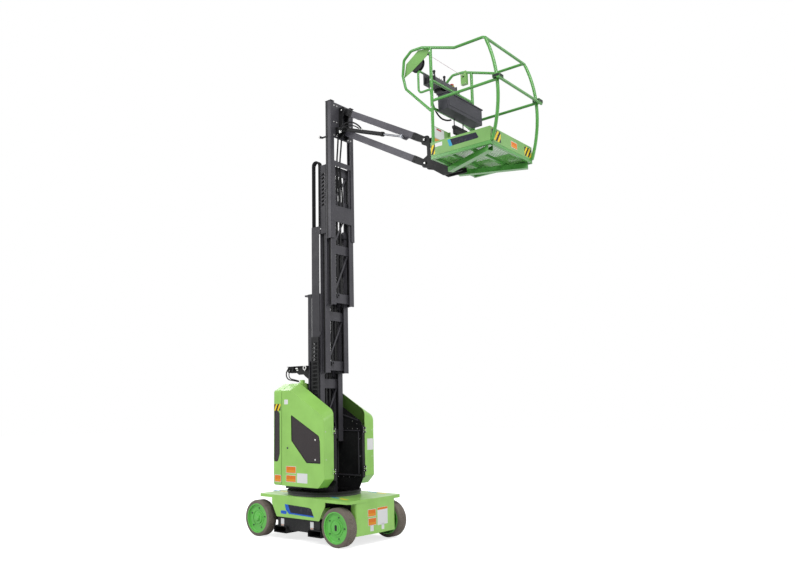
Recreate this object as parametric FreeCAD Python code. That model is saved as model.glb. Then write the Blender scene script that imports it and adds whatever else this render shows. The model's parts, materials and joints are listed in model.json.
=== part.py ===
# Vertical mast lift on four small solid tyres: a turret carries a five-section mast,
# a parallelogram jib and a one-person basket. Millimetres. +X is the jib's side,
# +Y is left, +Z is up, and the origin is on the slew axis at floor level.
import FreeCAD, Part
import math
import os

Vector = FreeCAD.Vector

# Running and welding clearances
run_gap = 5.0        # between bodies that pass each other
slide_gap = 0.4      # between a slide shoe and its rail
pin_gap = 0.05       # radial, pin in bore
sheet = 3.0          # cowl and cover sheet

# Wheels and axles
tyre_r = 203.0
tyre_w = 127.0
tyre_bore = 165.0
tyre_round = 12.0
track_out = 990.0                       # over the tyres
axle_x = 612.0                          # wheel centres ahead of and behind the slew axis
wheel_y = (track_out - tyre_w) / 2
rim_band = 12.0
rim_recess = 24.0                       # disc face inside the rim's edge
disc_t = 14.0
hub_r = 62.0
hub_proud = 10.0
cap_r = 34.0                            # bearing cap on the steered wheels
cap_h = 20.0
spindle_r = 20.0
spindle_end = 6.0                       # spindle stops this far inside the hub's face
kingpin_y = 350.0
kingpin_r = 16.0
knuckle_h = 76.0
knuckle_r = 28.0
yoke_half = 24.0                        # half the yoke's width along X
yoke_h = 116.0
yoke_slot = 34.0
axle_h = 68.0

# Chassis
deck_z = 480.0
deck_t = 6.0
deck_lip = 33.0
deck_half = 460.0
deck_rear = -620.0
deck_front = 785.0
nose_point = 15.0                       # the front is a shallow V in plan
corner_r = 45.0
skirt_bottom = 245.0
skirt_rear = -316.0
skirt_front = 346.0
arch_r = 256.0
arch_liner = 100.0                      # depth of an arch's sheet, inboard
bumper_half = 335.0
bumper_bottom = 110.0
bumper_rear = 700.0
bumper_front = 770.0
well_r = 408.0                          # round well that the mast foot turns in
well_wall = 10.0
well_bottom = 150.0
frame_top = deck_z - deck_t
belly_z = 108.0
side_plate_y = 442.0
side_plate_t = 8.0
beam_front_half = 200.0
beam_rear_half = 160.0
beam_rear_end = -690.0
beam_wall = 8.0
seat_gap = 0.3
pocket_z = 72.0
pocket_h = 74.0
pocket_w = 200.0
pocket_wall = 6.0
pocket_y = 470.0
pocket_x = (-250.0, 285.0)
apron_x = (-140.0, 180.0)               # black apron between the pockets, below the side plate
motor_r = 74.0

# Slewing ring and turntable
ring_in = 406.0
ring_out = 422.0
ring_top = 505.0
table_r = 430.0
table_t = 25.0
bearing_gap = 0.5
table_z = ring_top + bearing_gap
table_top = table_z + table_t

# Mast: five sections, each one pitch ahead of the one behind it
section_count = 5
section_len = 1710.0
mast_foot = 280.0
exposed = 790.0                         # how far each section stands above the last in the photo
travel_up = 560.0
mast_half = 195.0
flange_w = 75.0
flange_t = 12.0
rail_depth = 90.0
web_t = 10.0
pitch_x = 98.0
front_x1 = 33.0                         # front face of the first section
cross_t = 20.0
cross_h = 110.0
brace_w = 45.0
brace_t = 8.0
sheave_y = -66.0
sheave_r = 26.0
chain_y = 30.0
link_w = 26.0
link_pitch = 76.0
chain_d = 12.0
shoe_h = 80.0
shoe_wrap = 12.0
shoe_reach = 27.0
trough_t = 3.0
crosshead_half = 185.0
crosshead_t = 20.0
slot_pitch = 47.0
loop_x = (12.0, 118.0)                  # rear faces of the hose loop's two legs
loop_t = 14.0
loop_y = -140.0                         # inner edge of the loop's flat bundle
loop_h = 830.0
chain_x = (14.0, 128.0)                 # cable chain beside the first section
chain_t = 13.0
chain_foot = 560.0
chain_top = 2280.0
chain_pitch = 46.0
trough_y = mast_half + run_gap + 0.5    # inner face of a hose trough

# Carriage: the fifth section wraps the fourth one's front flange
carriage_t = 10.0
carriage_rear = 257.0
carriage_lip = 22.0

# Lift cylinders behind the first section
cyl_x = -96.0
cyl_y = 130.0
barrel_r = 22.5
barrel_bore = 17.0
ram_r = 15.0
ram_top = 1960.0
barrel_foot = 1345.0

# Turret cowls
cowl_out = 430.0
cowl_in = 272.0
cowl_front = 400.0
cowl_seam = -270.0
cowl_rear = -420.0
cowl_bottom = 585.0
cowl_top = 1745.0
roof_break = -125.0                     # the roof is level behind this and slopes ahead of it
roof_front_z = 1425.0
roof_drop = 85.0                        # the outer edge lies this much lower
cowl_chamfer = 95.0
seam_gap = 6.0
wall_y = 225.0
wall_t = 6.0
hood_half = 262.0
battery_top = 1150.0
hinge_r = 7.0
hinge_pin_r = 3.5
hinge_h = 66.0
hinge_levels = (760.0, 1200.0)
leaf_t = 4.0
leaf_w = 32.0

# Jib parallelogram
pivot_x = 392.0
pivot_z = 5048.0
link_h = 270.0
jib_len = 1379.0
jib_drop = 29.7                         # degrees below level at rest
arm_w = 60.0
arm_h = 78.0
boss_r = 40.0
jib_pin_r = 15.0
head_half = 62.0                        # outer faces of the mast head's ears
ear_t = 16.0
cylinder_y = -82.0
jib_barrel_r = 24.0
jib_rod_r = 12.0
jib_barrel_len = 608.0
barrel_floor = 34.0                     # the bore starts this far from the barrel's pivot
rod_inside = 174.0                      # the rod's inner end from that pivot in the photo's pose
jib_eye = (1081.0, -63.0)                # rod eye along and below the upper arm's line
jib_foot = (83.0, -276.0)               # barrel pivot ahead of and below the upper pivot

# Basket
floor_z = 3960.0
frame_h = 36.0
plate_t = 4.0
floor_rear = 1925.0
floor_front = 2622.0
floor_half = 425.0
toe_h = 180.0
toe_t = 4.0
post_r = 17.0
rail_r = 15.0
post_foot_x = 2618.0
post_head_x = 2614.0
guard_x = 1782.0
guard_r = 12.0
post_bulge = 100.0
rail_z = 5085.0                         # top rail at the front; the heights below hang on it
mid_share = 0.569                       # mid rail's height between the floor and the top rail
mid_z = floor_z + mid_share * (rail_z - floor_z)
rear_lateral_z = (rail_z - 560.0, rail_z - 255.0)
guard_low = rail_z - 352.0
guard_top = rail_z - 95.0
rail_rear_z = rail_z + 115.0
rail_kink_x = 2240.0
hoop_x = 1588.0
hoop_rise = 155.0                       # top of the hoop above the front's top rail
hoop_low_z = rail_z - 605.0
carrier_half = 50.0
carrier_t = 12.0
beam_z = 3905.0
beam_w = 60.0


def box(x0, x1, y0, y1, z0, z1):
    return Part.makeBox(x1 - x0, y1 - y0, z1 - z0, Vector(x0, y0, z0))


def bar(start, end, radius):
    start = Vector(*start)
    end = Vector(*end)
    along = end - start
    return Part.makeCylinder(radius, along.Length, start, along)


def pipe(start, end, radius, bore):
    return bar(start, end, radius).cut(bar(start, end, bore))


def corner(before, point, after, radius):
    """Tangent points and middle of the arc that rounds one corner."""
    back = (before - point).normalize()
    ahead = (after - point).normalize()
    half = back.getAngle(ahead) / 2
    reach = radius / math.tan(half)
    middle = point + (back + ahead).normalize() * (radius / math.sin(half) - radius)
    return point + back * reach, middle, point + ahead * reach


def rounded_wire(points, closed):
    """A wire of lines and tangent arcs through (vector, radius) corners."""
    count = len(points)
    stops = []
    for i, (point, radius) in enumerate(points):
        inner = closed or 0 < i < count - 1
        if inner and radius > 0:
            stops.append(corner(points[i - 1][0], point, points[(i + 1) % count][0], radius))
        else:
            stops.append((point, None, point))
    edges = []
    for i, (start, middle, end) in enumerate(stops):
        if middle is not None:
            edges.append(Part.Arc(start, middle, end).toShape())
        if i < count - 1 or closed:
            following = stops[(i + 1) % count][0]
            if (following - end).Length > 1e-6:
                edges.append(Part.LineSegment(end, following).toShape())
    return Part.Wire(edges)


PLANES = {
    "xy": (lambda u, v, at: Vector(u, v, at), Vector(0, 0, 1)),
    "xz": (lambda u, v, at: Vector(u, at, v), Vector(0, 1, 0)),
    "yz": (lambda u, v, at: Vector(at, u, v), Vector(1, 0, 0)),
}


def profile(points, plane, at):
    """A closed wire of (u, v) or (u, v, radius) corners in a named plane."""
    place = PLANES[plane][0]
    corners = [(place(p[0], p[1], at), p[2] if len(p) > 2 else 0) for p in points]
    return rounded_wire(corners, True)


def prism(points, plane, low, high):
    """The outline extruded from low to high along the plane's normal."""
    normal = PLANES[plane][1]
    return Part.Face(profile(points, plane, low)).extrude(normal * (high - low))


def tube(points, radius, bend):
    """A round bar bent through the points, each corner with the same bend radius."""
    corners = [(Vector(*p), bend) for p in points]
    path = rounded_wire(corners, False)
    first = corners[0][0]
    along = corners[1][0] - first
    ring = Part.Wire([Part.Circle(first, along, radius).toShape()])
    return path.makePipeShell([ring], True, False)


def spun(points, centre, axis):
    """A profile of (along, radius) corners revolved about an axis through the centre."""
    side = Vector(0, 0, 1) if abs(axis.z) < 0.5 else Vector(1, 0, 0)
    corners = []
    for p in points:
        spot = centre + axis * p[0] + side * p[1]
        corners.append((spot, p[2] if len(p) > 2 else 0))
    face = Part.Face(rounded_wire(corners, True))
    return face.revolve(centre, axis, 360)


def fuse(*shapes):
    whole = shapes[0]
    for shape in shapes[1:]:
        whole = whole.fuse(shape)
    return whole.removeSplitter()


def mirrored(shape):
    return shape.mirror(Vector(0, 0, 0), Vector(0, 1, 0))


def both(shape):
    """The shape and its mirror image across the centre plane, as two solids."""
    return Part.makeCompound(shape.Solids + mirrored(shape).Solids)


def save(name, shape):
    solids = shape.Solids
    if len(solids) == 1:
        solids[0].exportStep("parts/" + name + ".step")
    else:
        Part.makeCompound(solids).exportStep("parts/" + name + ".step")


# Wheels

def tyre(x, side):
    """A solid tyre; side is +1 on the left and -1 on the right."""
    half = tyre_w / 2
    points = [(-half, tyre_bore), (-half, tyre_r - 14), (-half + 5, tyre_r - 4), (-half + 15, tyre_r),
              (half - 15, tyre_r), (half - 5, tyre_r - 4), (half, tyre_r - 14), (half, tyre_bore)]
    return spun(points, Vector(x, side * wheel_y, tyre_r), Vector(0, side, 0))


def rim(x, side):
    """A dished steel disc in a band, with a raised hub; along runs outward."""
    half = tyre_w / 2
    band = tyre_bore - rim_band
    face = half - rim_recess
    hub_face = face + hub_proud
    bore = spindle_r + pin_gap
    points = [(-half, tyre_bore), (half, tyre_bore), (half, band), (face + 4, band - 3), (face, band - 9),
              (face, hub_r + 4), (hub_face, hub_r), (hub_face, bore),
              (-10, bore), (-10, hub_r - 8), (face - disc_t, hub_r + 4),
              (face - disc_t, band - 14), (-half, band)]
    body = spun(points, Vector(x, side * wheel_y, tyre_r), Vector(0, side, 0))
    if x < 0:
        cap = [(hub_face - 1, bore), (hub_face - 1, cap_r), (hub_face + 8, cap_r), (hub_face + cap_h, cap_r - 8),
               (hub_face + cap_h, 0), (hub_face + cap_h - 6, 0), (hub_face + 4, bore)]
        body = body.fuse(spun(cap, Vector(x, side * wheel_y, tyre_r), Vector(0, side, 0))).removeSplitter()
    return body


def knuckle(side):
    """Rear steering knuckle: a kingpin barrel with the wheel's spindle and a short arm."""
    x = -axle_x
    hub_face = wheel_y + tyre_w / 2 - rim_recess + hub_proud
    half = knuckle_h / 2
    barrel = bar((x, kingpin_y, tyre_r - half), (x, kingpin_y, tyre_r + half), knuckle_r)
    spindle = bar((x, kingpin_y, tyre_r), (x, hub_face - spindle_end, tyre_r), spindle_r)
    shoulder = bar((x, kingpin_y, tyre_r), (x, wheel_y - 11, tyre_r), knuckle_r - 1)
    arm = prism([(x - 10, kingpin_y + 8), (x - 118, kingpin_y + 16, 8),
                 (x - 118, kingpin_y + 38, 8), (x - 10, kingpin_y + 30)],
                "xy", tyre_r + 10, tyre_r + 26)
    body = fuse(barrel, spindle, shoulder, arm)
    bore = bar((x, kingpin_y, tyre_r - 60), (x, kingpin_y, tyre_r + 60), kingpin_r + pin_gap)
    body = body.cut(bore)
    return body if side > 0 else mirrored(body)


def rear_axle():
    """Cross beam with a yoke and kingpin at each end."""
    x = -axle_x
    low = tyre_r - yoke_h / 2
    high = tyre_r + yoke_h / 2
    beam = box(x - yoke_half, x + yoke_half, beam_rear_half, kingpin_y - yoke_slot - 2,
               tyre_r - axle_h / 2, tyre_r + axle_h / 2)
    cheek = box(x - yoke_half, x + yoke_half, kingpin_y - 60, kingpin_y, low, high)
    nose = bar((x, kingpin_y, low), (x, kingpin_y, high), yoke_half)
    slot = knuckle_h / 2 + 0.3
    gap = bar((x, kingpin_y, tyre_r - slot), (x, kingpin_y, tyre_r + slot), yoke_slot)
    yoke = fuse(cheek, nose).cut(gap)
    pin = bar((x, kingpin_y, low), (x, kingpin_y, high), kingpin_r)
    return both(fuse(beam, yoke, pin))


def drive_units():
    """Wheel motors that stand out of the front beam and carry the front wheels."""
    hub_face = wheel_y + tyre_w / 2 - rim_recess + hub_proud
    inner = beam_front_half
    body = [(inner, 0), (inner, motor_r + 12), (inner + 14, motor_r + 12), (inner + 14, motor_r),
            (322, motor_r), (334, motor_r - 16), (340, 48), (wheel_y - 11, 48), (wheel_y - 11, spindle_r),
            (hub_face - spindle_end, spindle_r), (hub_face - spindle_end, 0)]
    return both(spun(body, Vector(axle_x, 0, tyre_r), Vector(0, 1, 0)))


# Chassis

def pocket_top():
    return pocket_z + pocket_h


def side_plate_span(side):
    """Inner and outer face of one side plate."""
    return sorted((side * (side_plate_y - side_plate_t), side * side_plate_y))


def fork_pockets():
    """Two open channels across the chassis for a fork truck's tines, and the aprons between them."""
    solids = []
    for x in pocket_x:
        outer = box(x - pocket_w / 2, x + pocket_w / 2, -pocket_y, pocket_y, pocket_z, pocket_top())
        inner = box(x - pocket_w / 2 + pocket_wall, x + pocket_w / 2 - pocket_wall,
                    -pocket_y - 1, pocket_y + 1,
                    pocket_z + pocket_wall, pocket_top() - pocket_wall)
        solids.append(outer.cut(inner))
    for side in (1, -1):
        y0, y1 = side_plate_span(side)
        solids.append(box(apron_x[0], apron_x[1], y0, y1, belly_z, pocket_top()))
    return Part.makeCompound(solids)


def beam_front_end():
    """The front beam reaches the bumper's inner face at the beam's two corners."""
    share = beam_front_half / (bumper_half - deck_t)
    return bumper_front - deck_t + nose_point * (1 - share) - seat_gap


def chassis_frame():
    """Round mast well with beams fore and aft and a black plate down each side."""
    outer_r = well_r + well_wall
    floor = pocket_top()
    well = Part.makeCylinder(outer_r, frame_top - floor, Vector(0, 0, floor))
    front = box(0, beam_front_end(), -beam_front_half, beam_front_half, floor, frame_top)
    rear = box(beam_rear_end, 0, -beam_rear_half, beam_rear_half, floor, frame_top)
    plates = []
    for side in (1, -1):
        y0, y1 = side_plate_span(side)
        plate = prism([(skirt_rear + 4, floor), (skirt_rear + 4, 300, 20), (-250, 380, 20),
                       (250, 380, 20), (skirt_front - 4, 300, 20), (skirt_front - 4, floor)], "xz", y0, y1)
        web0, web1 = sorted((side * 300, side * (side_plate_y - side_plate_t)))
        plates.append(plate)
        for x in (-130, 165):
            plates.append(box(x - 6, x + 6, web0, web1, floor, 360))
    whole = fuse(well, front, rear, *plates)
    whole = whole.cut(Part.makeCylinder(well_r, frame_top, Vector(0, 0, floor + beam_wall)))
    for x0, x1, half in ((outer_r + 8, beam_front_end() - beam_wall, beam_front_half - beam_wall),
                         (beam_rear_end + beam_wall, -outer_r - 8, beam_rear_half - beam_wall)):
        whole = whole.cut(box(x0, x1, -half, half, floor + beam_wall, frame_top + 1))
    return whole


def cover_body(inset):
    """The green cover's outer form, or the space inside it when inset by its sheet."""
    half = deck_half - inset
    rear = deck_rear + inset
    front = deck_front - inset
    top = deck_z - inset
    plan = [(rear, -half, corner_r), (front - nose_point, -half, corner_r), (front, 0),
            (front - nose_point, half, corner_r), (rear, half, corner_r)]
    slab = prism(plan, "xy", deck_z - deck_lip - (40 if inset else 0), top)
    low = skirt_bottom - (10 if inset else 0)
    side = prism([(skirt_rear - 80, low + 140), (skirt_rear + inset, low), (skirt_front - inset, low),
                  (skirt_front + 90, low + 160), (skirt_front + 90, top), (skirt_rear - 80, top)],
                 "xz", -half, half)
    bumper_top = deck_z - deck_lip
    b_half = bumper_half - inset
    b_front = bumper_front - inset
    nose = prism([(bumper_rear, -b_half), (b_front, -b_half, 18), (b_front + nose_point, 0),
                  (b_front, b_half, 18), (bumper_rear, b_half)],
                 "xy", bumper_bottom - (10 if inset else 0), bumper_top)
    arch = arch_r + inset
    for x in (-axle_x, axle_x):
        side = side.cut(bar((x, -600, tyre_r), (x, 600, tyre_r), arch))
    return slab, side, nose


def chassis_cover():
    """The deck with its skirts and arches, and the bumper below its front lip, in pressed sheet."""
    slab, side, nose = cover_body(0)
    inner_slab, inner_side, inner_nose = cover_body(deck_t)
    whole = fuse(slab, side)
    for inner in (inner_slab, inner_side):
        whole = whole.cut(inner)
    whole = whole.cut(Part.makeCylinder(ring_out + 0.5, 40, Vector(0, 0, deck_z - 20)))
    core = deck_half - arch_liner
    clear = Part.makeCylinder(well_r + well_wall + 1, 400, Vector(0, 0, 60))
    whole = whole.cut(box(deck_rear - 80, bumper_rear - 1, -core, core, 60, frame_top))
    whole = whole.cut(clear.common(box(-500, 500, -500, 500, 60, frame_top)))
    seam = deck_z - deck_lip - 0.5
    bumper = nose.cut(inner_nose).common(box(bumper_rear, deck_front + 1, -deck_half, deck_half, 0, seam))
    return Part.makeCompound(whole.Solids + bumper.Solids)


def slew_ring():
    ring = Part.makeCylinder(ring_out, ring_top - frame_top, Vector(0, 0, frame_top))
    return ring.cut(Part.makeCylinder(ring_in, 200, Vector(0, 0, frame_top - 50)))


# Turret

def section_front(n):
    return front_x1 + pitch_x * (n - 1)


def section_foot(n):
    return mast_foot + exposed * (n - 1)


def carriage_face():
    return section_front(4) + run_gap + carriage_t


def carriage_outer():
    return mast_half + run_gap + 0.5 + carriage_t


def turntable():
    """Round plate over the slew ring, open where the mast goes down through it."""
    plate = Part.makeCylinder(table_r, table_t, Vector(0, 0, table_z))
    rims = [e for e in plate.Edges if isinstance(e.Curve, Part.Circle) and e.CenterOfMass.z > table_top - 1]
    plate = plate.makeChamfer(4, rims)
    rear = section_front(1) - rail_depth
    fixed = box(rear, section_front(1), -mast_half, mast_half, table_z - 1, table_top + 1)
    half = carriage_outer() + run_gap
    moving = box(section_front(1), carriage_face() + run_gap + 3, -half, half, table_z - 1, table_top + 1)
    return plate.cut(fixed.fuse(moving).removeSplitter())


def rail(n, side):
    """One rolled I-section of mast section n, its web along X."""
    front = section_front(n)
    rear = front - rail_depth
    foot = section_foot(n)
    outer = side * mast_half
    inner = side * (mast_half - flange_w)
    y0, y1 = sorted((outer, inner))
    middle = (outer + inner) / 2
    points = [(front, y0), (front, y1), (front - flange_t, y1), (front - flange_t, middle + web_t / 2, 6),
              (rear + flange_t, middle + web_t / 2, 6), (rear + flange_t, y1), (rear, y1),
              (rear, y0), (rear + flange_t, y0), (rear + flange_t, middle - web_t / 2, 6),
              (front - flange_t, middle - web_t / 2, 6), (front - flange_t, y0)]
    return prism(points, "xy", foot, foot + section_len)


def front_shoe(n, z, side):
    """Shoe on section n's front face that hooks the next section's rear flange."""
    face = section_front(n)
    flange = face + pitch_x - rail_depth
    edge = mast_half - flange_w
    gap = slide_gap
    hook = flange + flange_t + gap
    body = box(face, hook + shoe_wrap, edge - gap - shoe_wrap, edge + shoe_reach, z, z + shoe_h)
    path = box(flange - gap, hook, edge - gap, edge + shoe_reach + 1, z - 1, z + shoe_h + 1)
    weld = box(face - flange_t, face, edge - gap - shoe_wrap, edge, z, z + shoe_h)
    shoe = fuse(body.cut(path), weld)
    return shoe if side > 0 else mirrored(shoe)


def rear_shoe(n, z, side):
    """Shoe on section n's rear face that hooks the previous section's front flange."""
    face = section_front(n) - rail_depth
    flange = face - (pitch_x - rail_depth)
    edge = mast_half - flange_w
    gap = slide_gap
    hook = flange - flange_t - gap
    body = box(hook - shoe_wrap, face, edge - gap - shoe_wrap, edge + shoe_reach, z, z + shoe_h)
    path = box(hook, flange + gap, edge - gap, edge + shoe_reach + 1, z - 1, z + shoe_h + 1)
    weld = box(face, face + flange_t, edge - gap - shoe_wrap, edge, z, z + shoe_h)
    shoe = fuse(body.cut(path), weld)
    return shoe if side > 0 else mirrored(shoe)


def cross_members(n, levels):
    """Flat ties between the two webs, in the middle of the section's depth."""
    middle = section_front(n) - rail_depth / 2
    reach = mast_half - flange_w / 2 - web_t / 2
    return [box(middle - cross_t / 2, middle + cross_t / 2, -reach, reach, z, z + cross_h)
            for z in levels]


# Hose troughs on the near side: section, rear and front edge ahead of the section's rear face,
# length from the section's top, number of slots
TROUGHS = (
    (2, -98.0, -43.0, 780.0, 0),
    (3, -131.0, -7.0, 1290.0, 0),
    (4, -80.0, 13.0, 780.0, 9),
)


def slots(rear, front, top, count):
    """Slanted slots down a trough's side."""
    width = front - rear
    cuts = []
    for i in range(count):
        z = top - 140 - i * slot_pitch
        cuts.append(prism([(rear + 0.30 * width, z), (rear + 0.72 * width, z + 10),
                           (rear + 0.72 * width, z + 34), (rear + 0.30 * width, z + 20)],
                          "xz", -trough_y - trough_t - 1, -trough_y + 1))
    return cuts


def trough(n):
    """Side plate that carries the hoses, returned to the rail by lugs at its ends."""
    for number, behind, ahead, length, count in TROUGHS:
        if number != n:
            continue
        top = section_foot(n) + section_len
        low = top - length
        rail_rear = section_front(n) - rail_depth
        rear = rail_rear + behind
        front = rail_rear + ahead
        plate = box(rear, front, -trough_y - trough_t, -trough_y, low, top)
        if n == 2:
            plate = box(rear, front, -trough_y - trough_t, -trough_y, low, top + crosshead_t)
            return fuse(plate, box(rear, front, -trough_y, -crosshead_half, top, top + crosshead_t))
        for cut in slots(rear, front, top, count):
            plate = plate.cut(cut)
        lugs = []
        for z in (top - 60, low + 20):
            if front < rail_rear + flange_t:
                lugs.append(box(front - 1, rail_rear + flange_t, -trough_y - trough_t, -trough_y, z, z + 40))
            lugs.append(box(rail_rear + 2, rail_rear + flange_t, -trough_y, -mast_half, z, z + 40))
        if n == 3:
            shelf = top + crosshead_t + 10
            lugs.append(box(rear, rear + 30, -trough_y - trough_t, -trough_y, top - 1, shelf + 10))
            lugs.append(box(front - 30, front, -trough_y - trough_t, -trough_y, top - 1, shelf + 10))
            lugs.append(box(rear, front, -trough_y - trough_t, loop_y - 4, shelf, shelf + 10))
        return fuse(plate, *lugs)
    return None


def hose_loop():
    """Flat bundle of hoses that arches over from the third section's trough to the fourth's."""
    foot = section_foot(3) + section_len + crosshead_t + 20
    rear, front = loop_x
    top = foot + loop_h
    r = (front - rear + loop_t) / 2
    outer = [(rear, foot), (rear, top - r), (rear + 4, top - 0.45 * r, 30), (rear + 0.5 * r, top - 4, 40),
             (front - 0.5 * r, top, 40), (front + loop_t - 4, top - 0.5 * r, 40), (front + loop_t, top - r),
             (front + loop_t, foot), (front, foot), (front, top - r - loop_t), (front - 6, top - loop_t - 0.5 * r, 30),
             (front - 0.5 * r, top - loop_t - 2, 26), (rear + loop_t + 0.4 * r, top - loop_t - 6, 26),
             (rear + loop_t + 2, top - loop_t - 0.5 * r, 26), (rear + loop_t, top - r - loop_t),
             (rear + loop_t, foot)]
    return prism(outer, "xz", -trough_y + 2, loop_y - 6)


def energy_chain():
    """Cable chain on the near side of the first section, with its crossbars showing."""
    x0, x1 = chain_x
    face = -wall_y + 3
    plate = box(x0, x1, face, face + chain_t, chain_foot, chain_top)
    holes = []
    count = int((chain_top - chain_foot - 30) / chain_pitch)
    for i in range(count):
        z = chain_foot + 15 + i * chain_pitch
        holes.append(box(x0 + 20, x1 - 20, face - 1, face + chain_t + 1, z, z + chain_pitch - 18))
    plate = plate.cut(Part.makeCompound(holes))
    ties = [box(x0 + 30, x1 - 30, -wall_y, face, z, z + 30) for z in (700, 1100, 1440)]
    return fuse(plate, *ties)


def braces(n, levels):
    """Diagonal flats between neighbouring ties."""
    middle = section_front(n) - rail_depth / 2
    reach = mast_half - flange_w / 2 - web_t / 2
    flats = []
    for i in range(len(levels) - 1):
        z0 = levels[i] + cross_h / 2
        z1 = levels[i + 1] + cross_h / 2
        flats.append(prism([(-reach, z0), (-reach, z0 - brace_w), (reach, z1 - brace_w), (reach, z1)],
                           "yz", middle - brace_t / 2, middle + brace_t / 2))
    return flats


def sheave(n):
    """Boss and hollow roller at the foot of a section, on the near side of its tie."""
    middle = section_front(n) - rail_depth / 2
    spot = Vector(middle, sheave_y, section_foot(n) + 30 + cross_h - sheave_r)
    return spun([(0, 14), (0, sheave_r), (34, sheave_r), (34, 14)], spot, Vector(1, 0, 0))


def lift_chain(n):
    """The pair of leaf chains that run up inside a section, their links as a toothed outline."""
    middle = section_front(n) - rail_depth / 2
    foot = section_foot(n) + 30 + cross_h
    top = section_foot(n) + section_len - cross_h - 10
    x0 = middle - cross_t / 2 + 1
    strips = []
    for side in (1, -1):
        y = side * chain_y
        points = []
        count = int((top - foot) / link_pitch)
        step = (top - foot) / count
        for i in range(count):
            z = foot + i * step
            points += [(y + link_w / 2, z), (y + link_w / 2, z + step * 0.8), (y + link_w / 2 - 4, z + step * 0.9)]
        points.append((y + link_w / 2, top))
        points += [(y - link_w / 2, top), (y - link_w / 2, foot)]
        strip = prism(points, "yz", x0 - 1 - chain_d, x0 - 1)
        strips.append(strip)
    return Part.makeCompound(strips)


def mast_section(n):
    """Two rails, their ties, the slide shoes, and the crosshead on the second section."""
    foot = section_foot(n)
    levels = [foot + 30, foot + section_len * 0.36, foot + section_len * 0.68,
              foot + section_len - cross_h - 10]
    pieces = [rail(n, 1), rail(n, -1)]
    pieces += cross_members(n, levels)
    top = foot + section_len
    for side in (1, -1):
        if n < section_count - 1:
            pieces.append(front_shoe(n, top - shoe_h, side))
        if n > 1:
            pieces.append(rear_shoe(n, foot, side))
    pieces += braces(n, levels)
    if n > 1:
        pieces.append(sheave(n))
    if n == 2:
        rear = cyl_x - barrel_r - 10
        cap = box(rear, section_front(2) - 20, -crosshead_half, crosshead_half, top, top + crosshead_t)
        pieces.append(cap)
    whole = fuse(*pieces)
    return whole


def carriage():
    """Fifth section: channels that wrap the fourth section's front flanges, and cross plates."""
    foot = section_foot(5)
    top = foot + section_len
    back = section_front(4) + run_gap
    face = carriage_face()
    outer = carriage_outer()
    inner = outer - carriage_t
    points = [(carriage_rear, outer), (face, outer, 10), (face, mast_half - 45), (back, mast_half - 45),
              (back, inner), (carriage_rear + carriage_t, inner),
              (carriage_rear + carriage_t, inner - carriage_lip), (carriage_rear, inner - carriage_lip)]
    left = prism(points, "xy", foot, top)
    pieces = [left, mirrored(left)]
    for z, height in ((foot + 205, 200), (foot + 900, 60), (top - 460, 450)):
        pieces.append(box(back, face, -mast_half, mast_half, z, z + height))
    for z in (foot, foot + 700):
        pad = box(section_front(4) + slide_gap, back, mast_half - 40, mast_half - 5, z, z + shoe_h)
        side_pad = box(section_front(4) - flange_t, section_front(4), mast_half + slide_gap, inner,
                       z, z + shoe_h)
        hook = box(section_front(4) - flange_t - slide_gap - 12, section_front(4) - flange_t - slide_gap,
                   mast_half - 18, inner, z, z + shoe_h)
        pieces += [pad, side_pad, hook, mirrored(pad), mirrored(side_pad), mirrored(hook)]
    return fuse(*pieces)


def mast_head():
    """Two ears on the carriage that hold the jib's two rear pins."""
    face = carriage_face()
    low = pivot_z - link_h
    ears = []
    for side in (1, -1):
        y0, y1 = sorted((side * (head_half - ear_t), side * head_half))
        ear = prism([(face, low - 75), (pivot_x - 5, low - 75, 20), (pivot_x + boss_r, low - 25, 30),
                     (pivot_x + boss_r, low + 40, 30), (pivot_x + 5, low + 90, 20),
                     (pivot_x + 5, pivot_z - 80, 20), (pivot_x + boss_r, pivot_z - 30, 30),
                     (pivot_x + boss_r, pivot_z + boss_r, 30), (face, pivot_z + boss_r)], "xz", y0, y1)
        ears.append(ear)
    outer = head_half
    foot_x, foot_z = jib_foot_point()
    lug0 = cylinder_y - jib_barrel_r - ear_t - 3
    lug = prism([(face, foot_z - 30), (foot_x, foot_z - 26, 20), (foot_x + 24, foot_z, 12),
                 (foot_x, foot_z + 26, 20), (face, foot_z + 50)], "xz", lug0, lug0 + ear_t)
    pieces = ears + [lug]
    whole = Part.makeCompound(pieces)
    pins = []
    for z in (pivot_z, low):
        pins.append(bar((pivot_x, -outer - 6, z), (pivot_x, outer + 6, z), jib_pin_r))
    pins.append(bar((foot_x, lug0 - 4, foot_z), (foot_x, -head_half, foot_z), 12))
    return fuse(whole, *pins)


# Jib

def jib_point(along, below):
    """A point given along the upper arm's line and square to it, from the upper rear pin."""
    angle = math.radians(-jib_drop)
    return (pivot_x + along * math.cos(angle) - below * math.sin(angle),
            pivot_z + along * math.sin(angle) + below * math.cos(angle))


def jib_foot_point():
    return pivot_x + jib_foot[0], pivot_z + jib_foot[1]


def jib_tip():
    return jib_point(jib_len, 0)


def turned(shape, drop):
    """The shape turned down about the upper rear pin."""
    copy = shape.copy()
    copy.rotate(Vector(pivot_x, 0, pivot_z), Vector(0, 1, 0), drop)
    return copy


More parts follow.
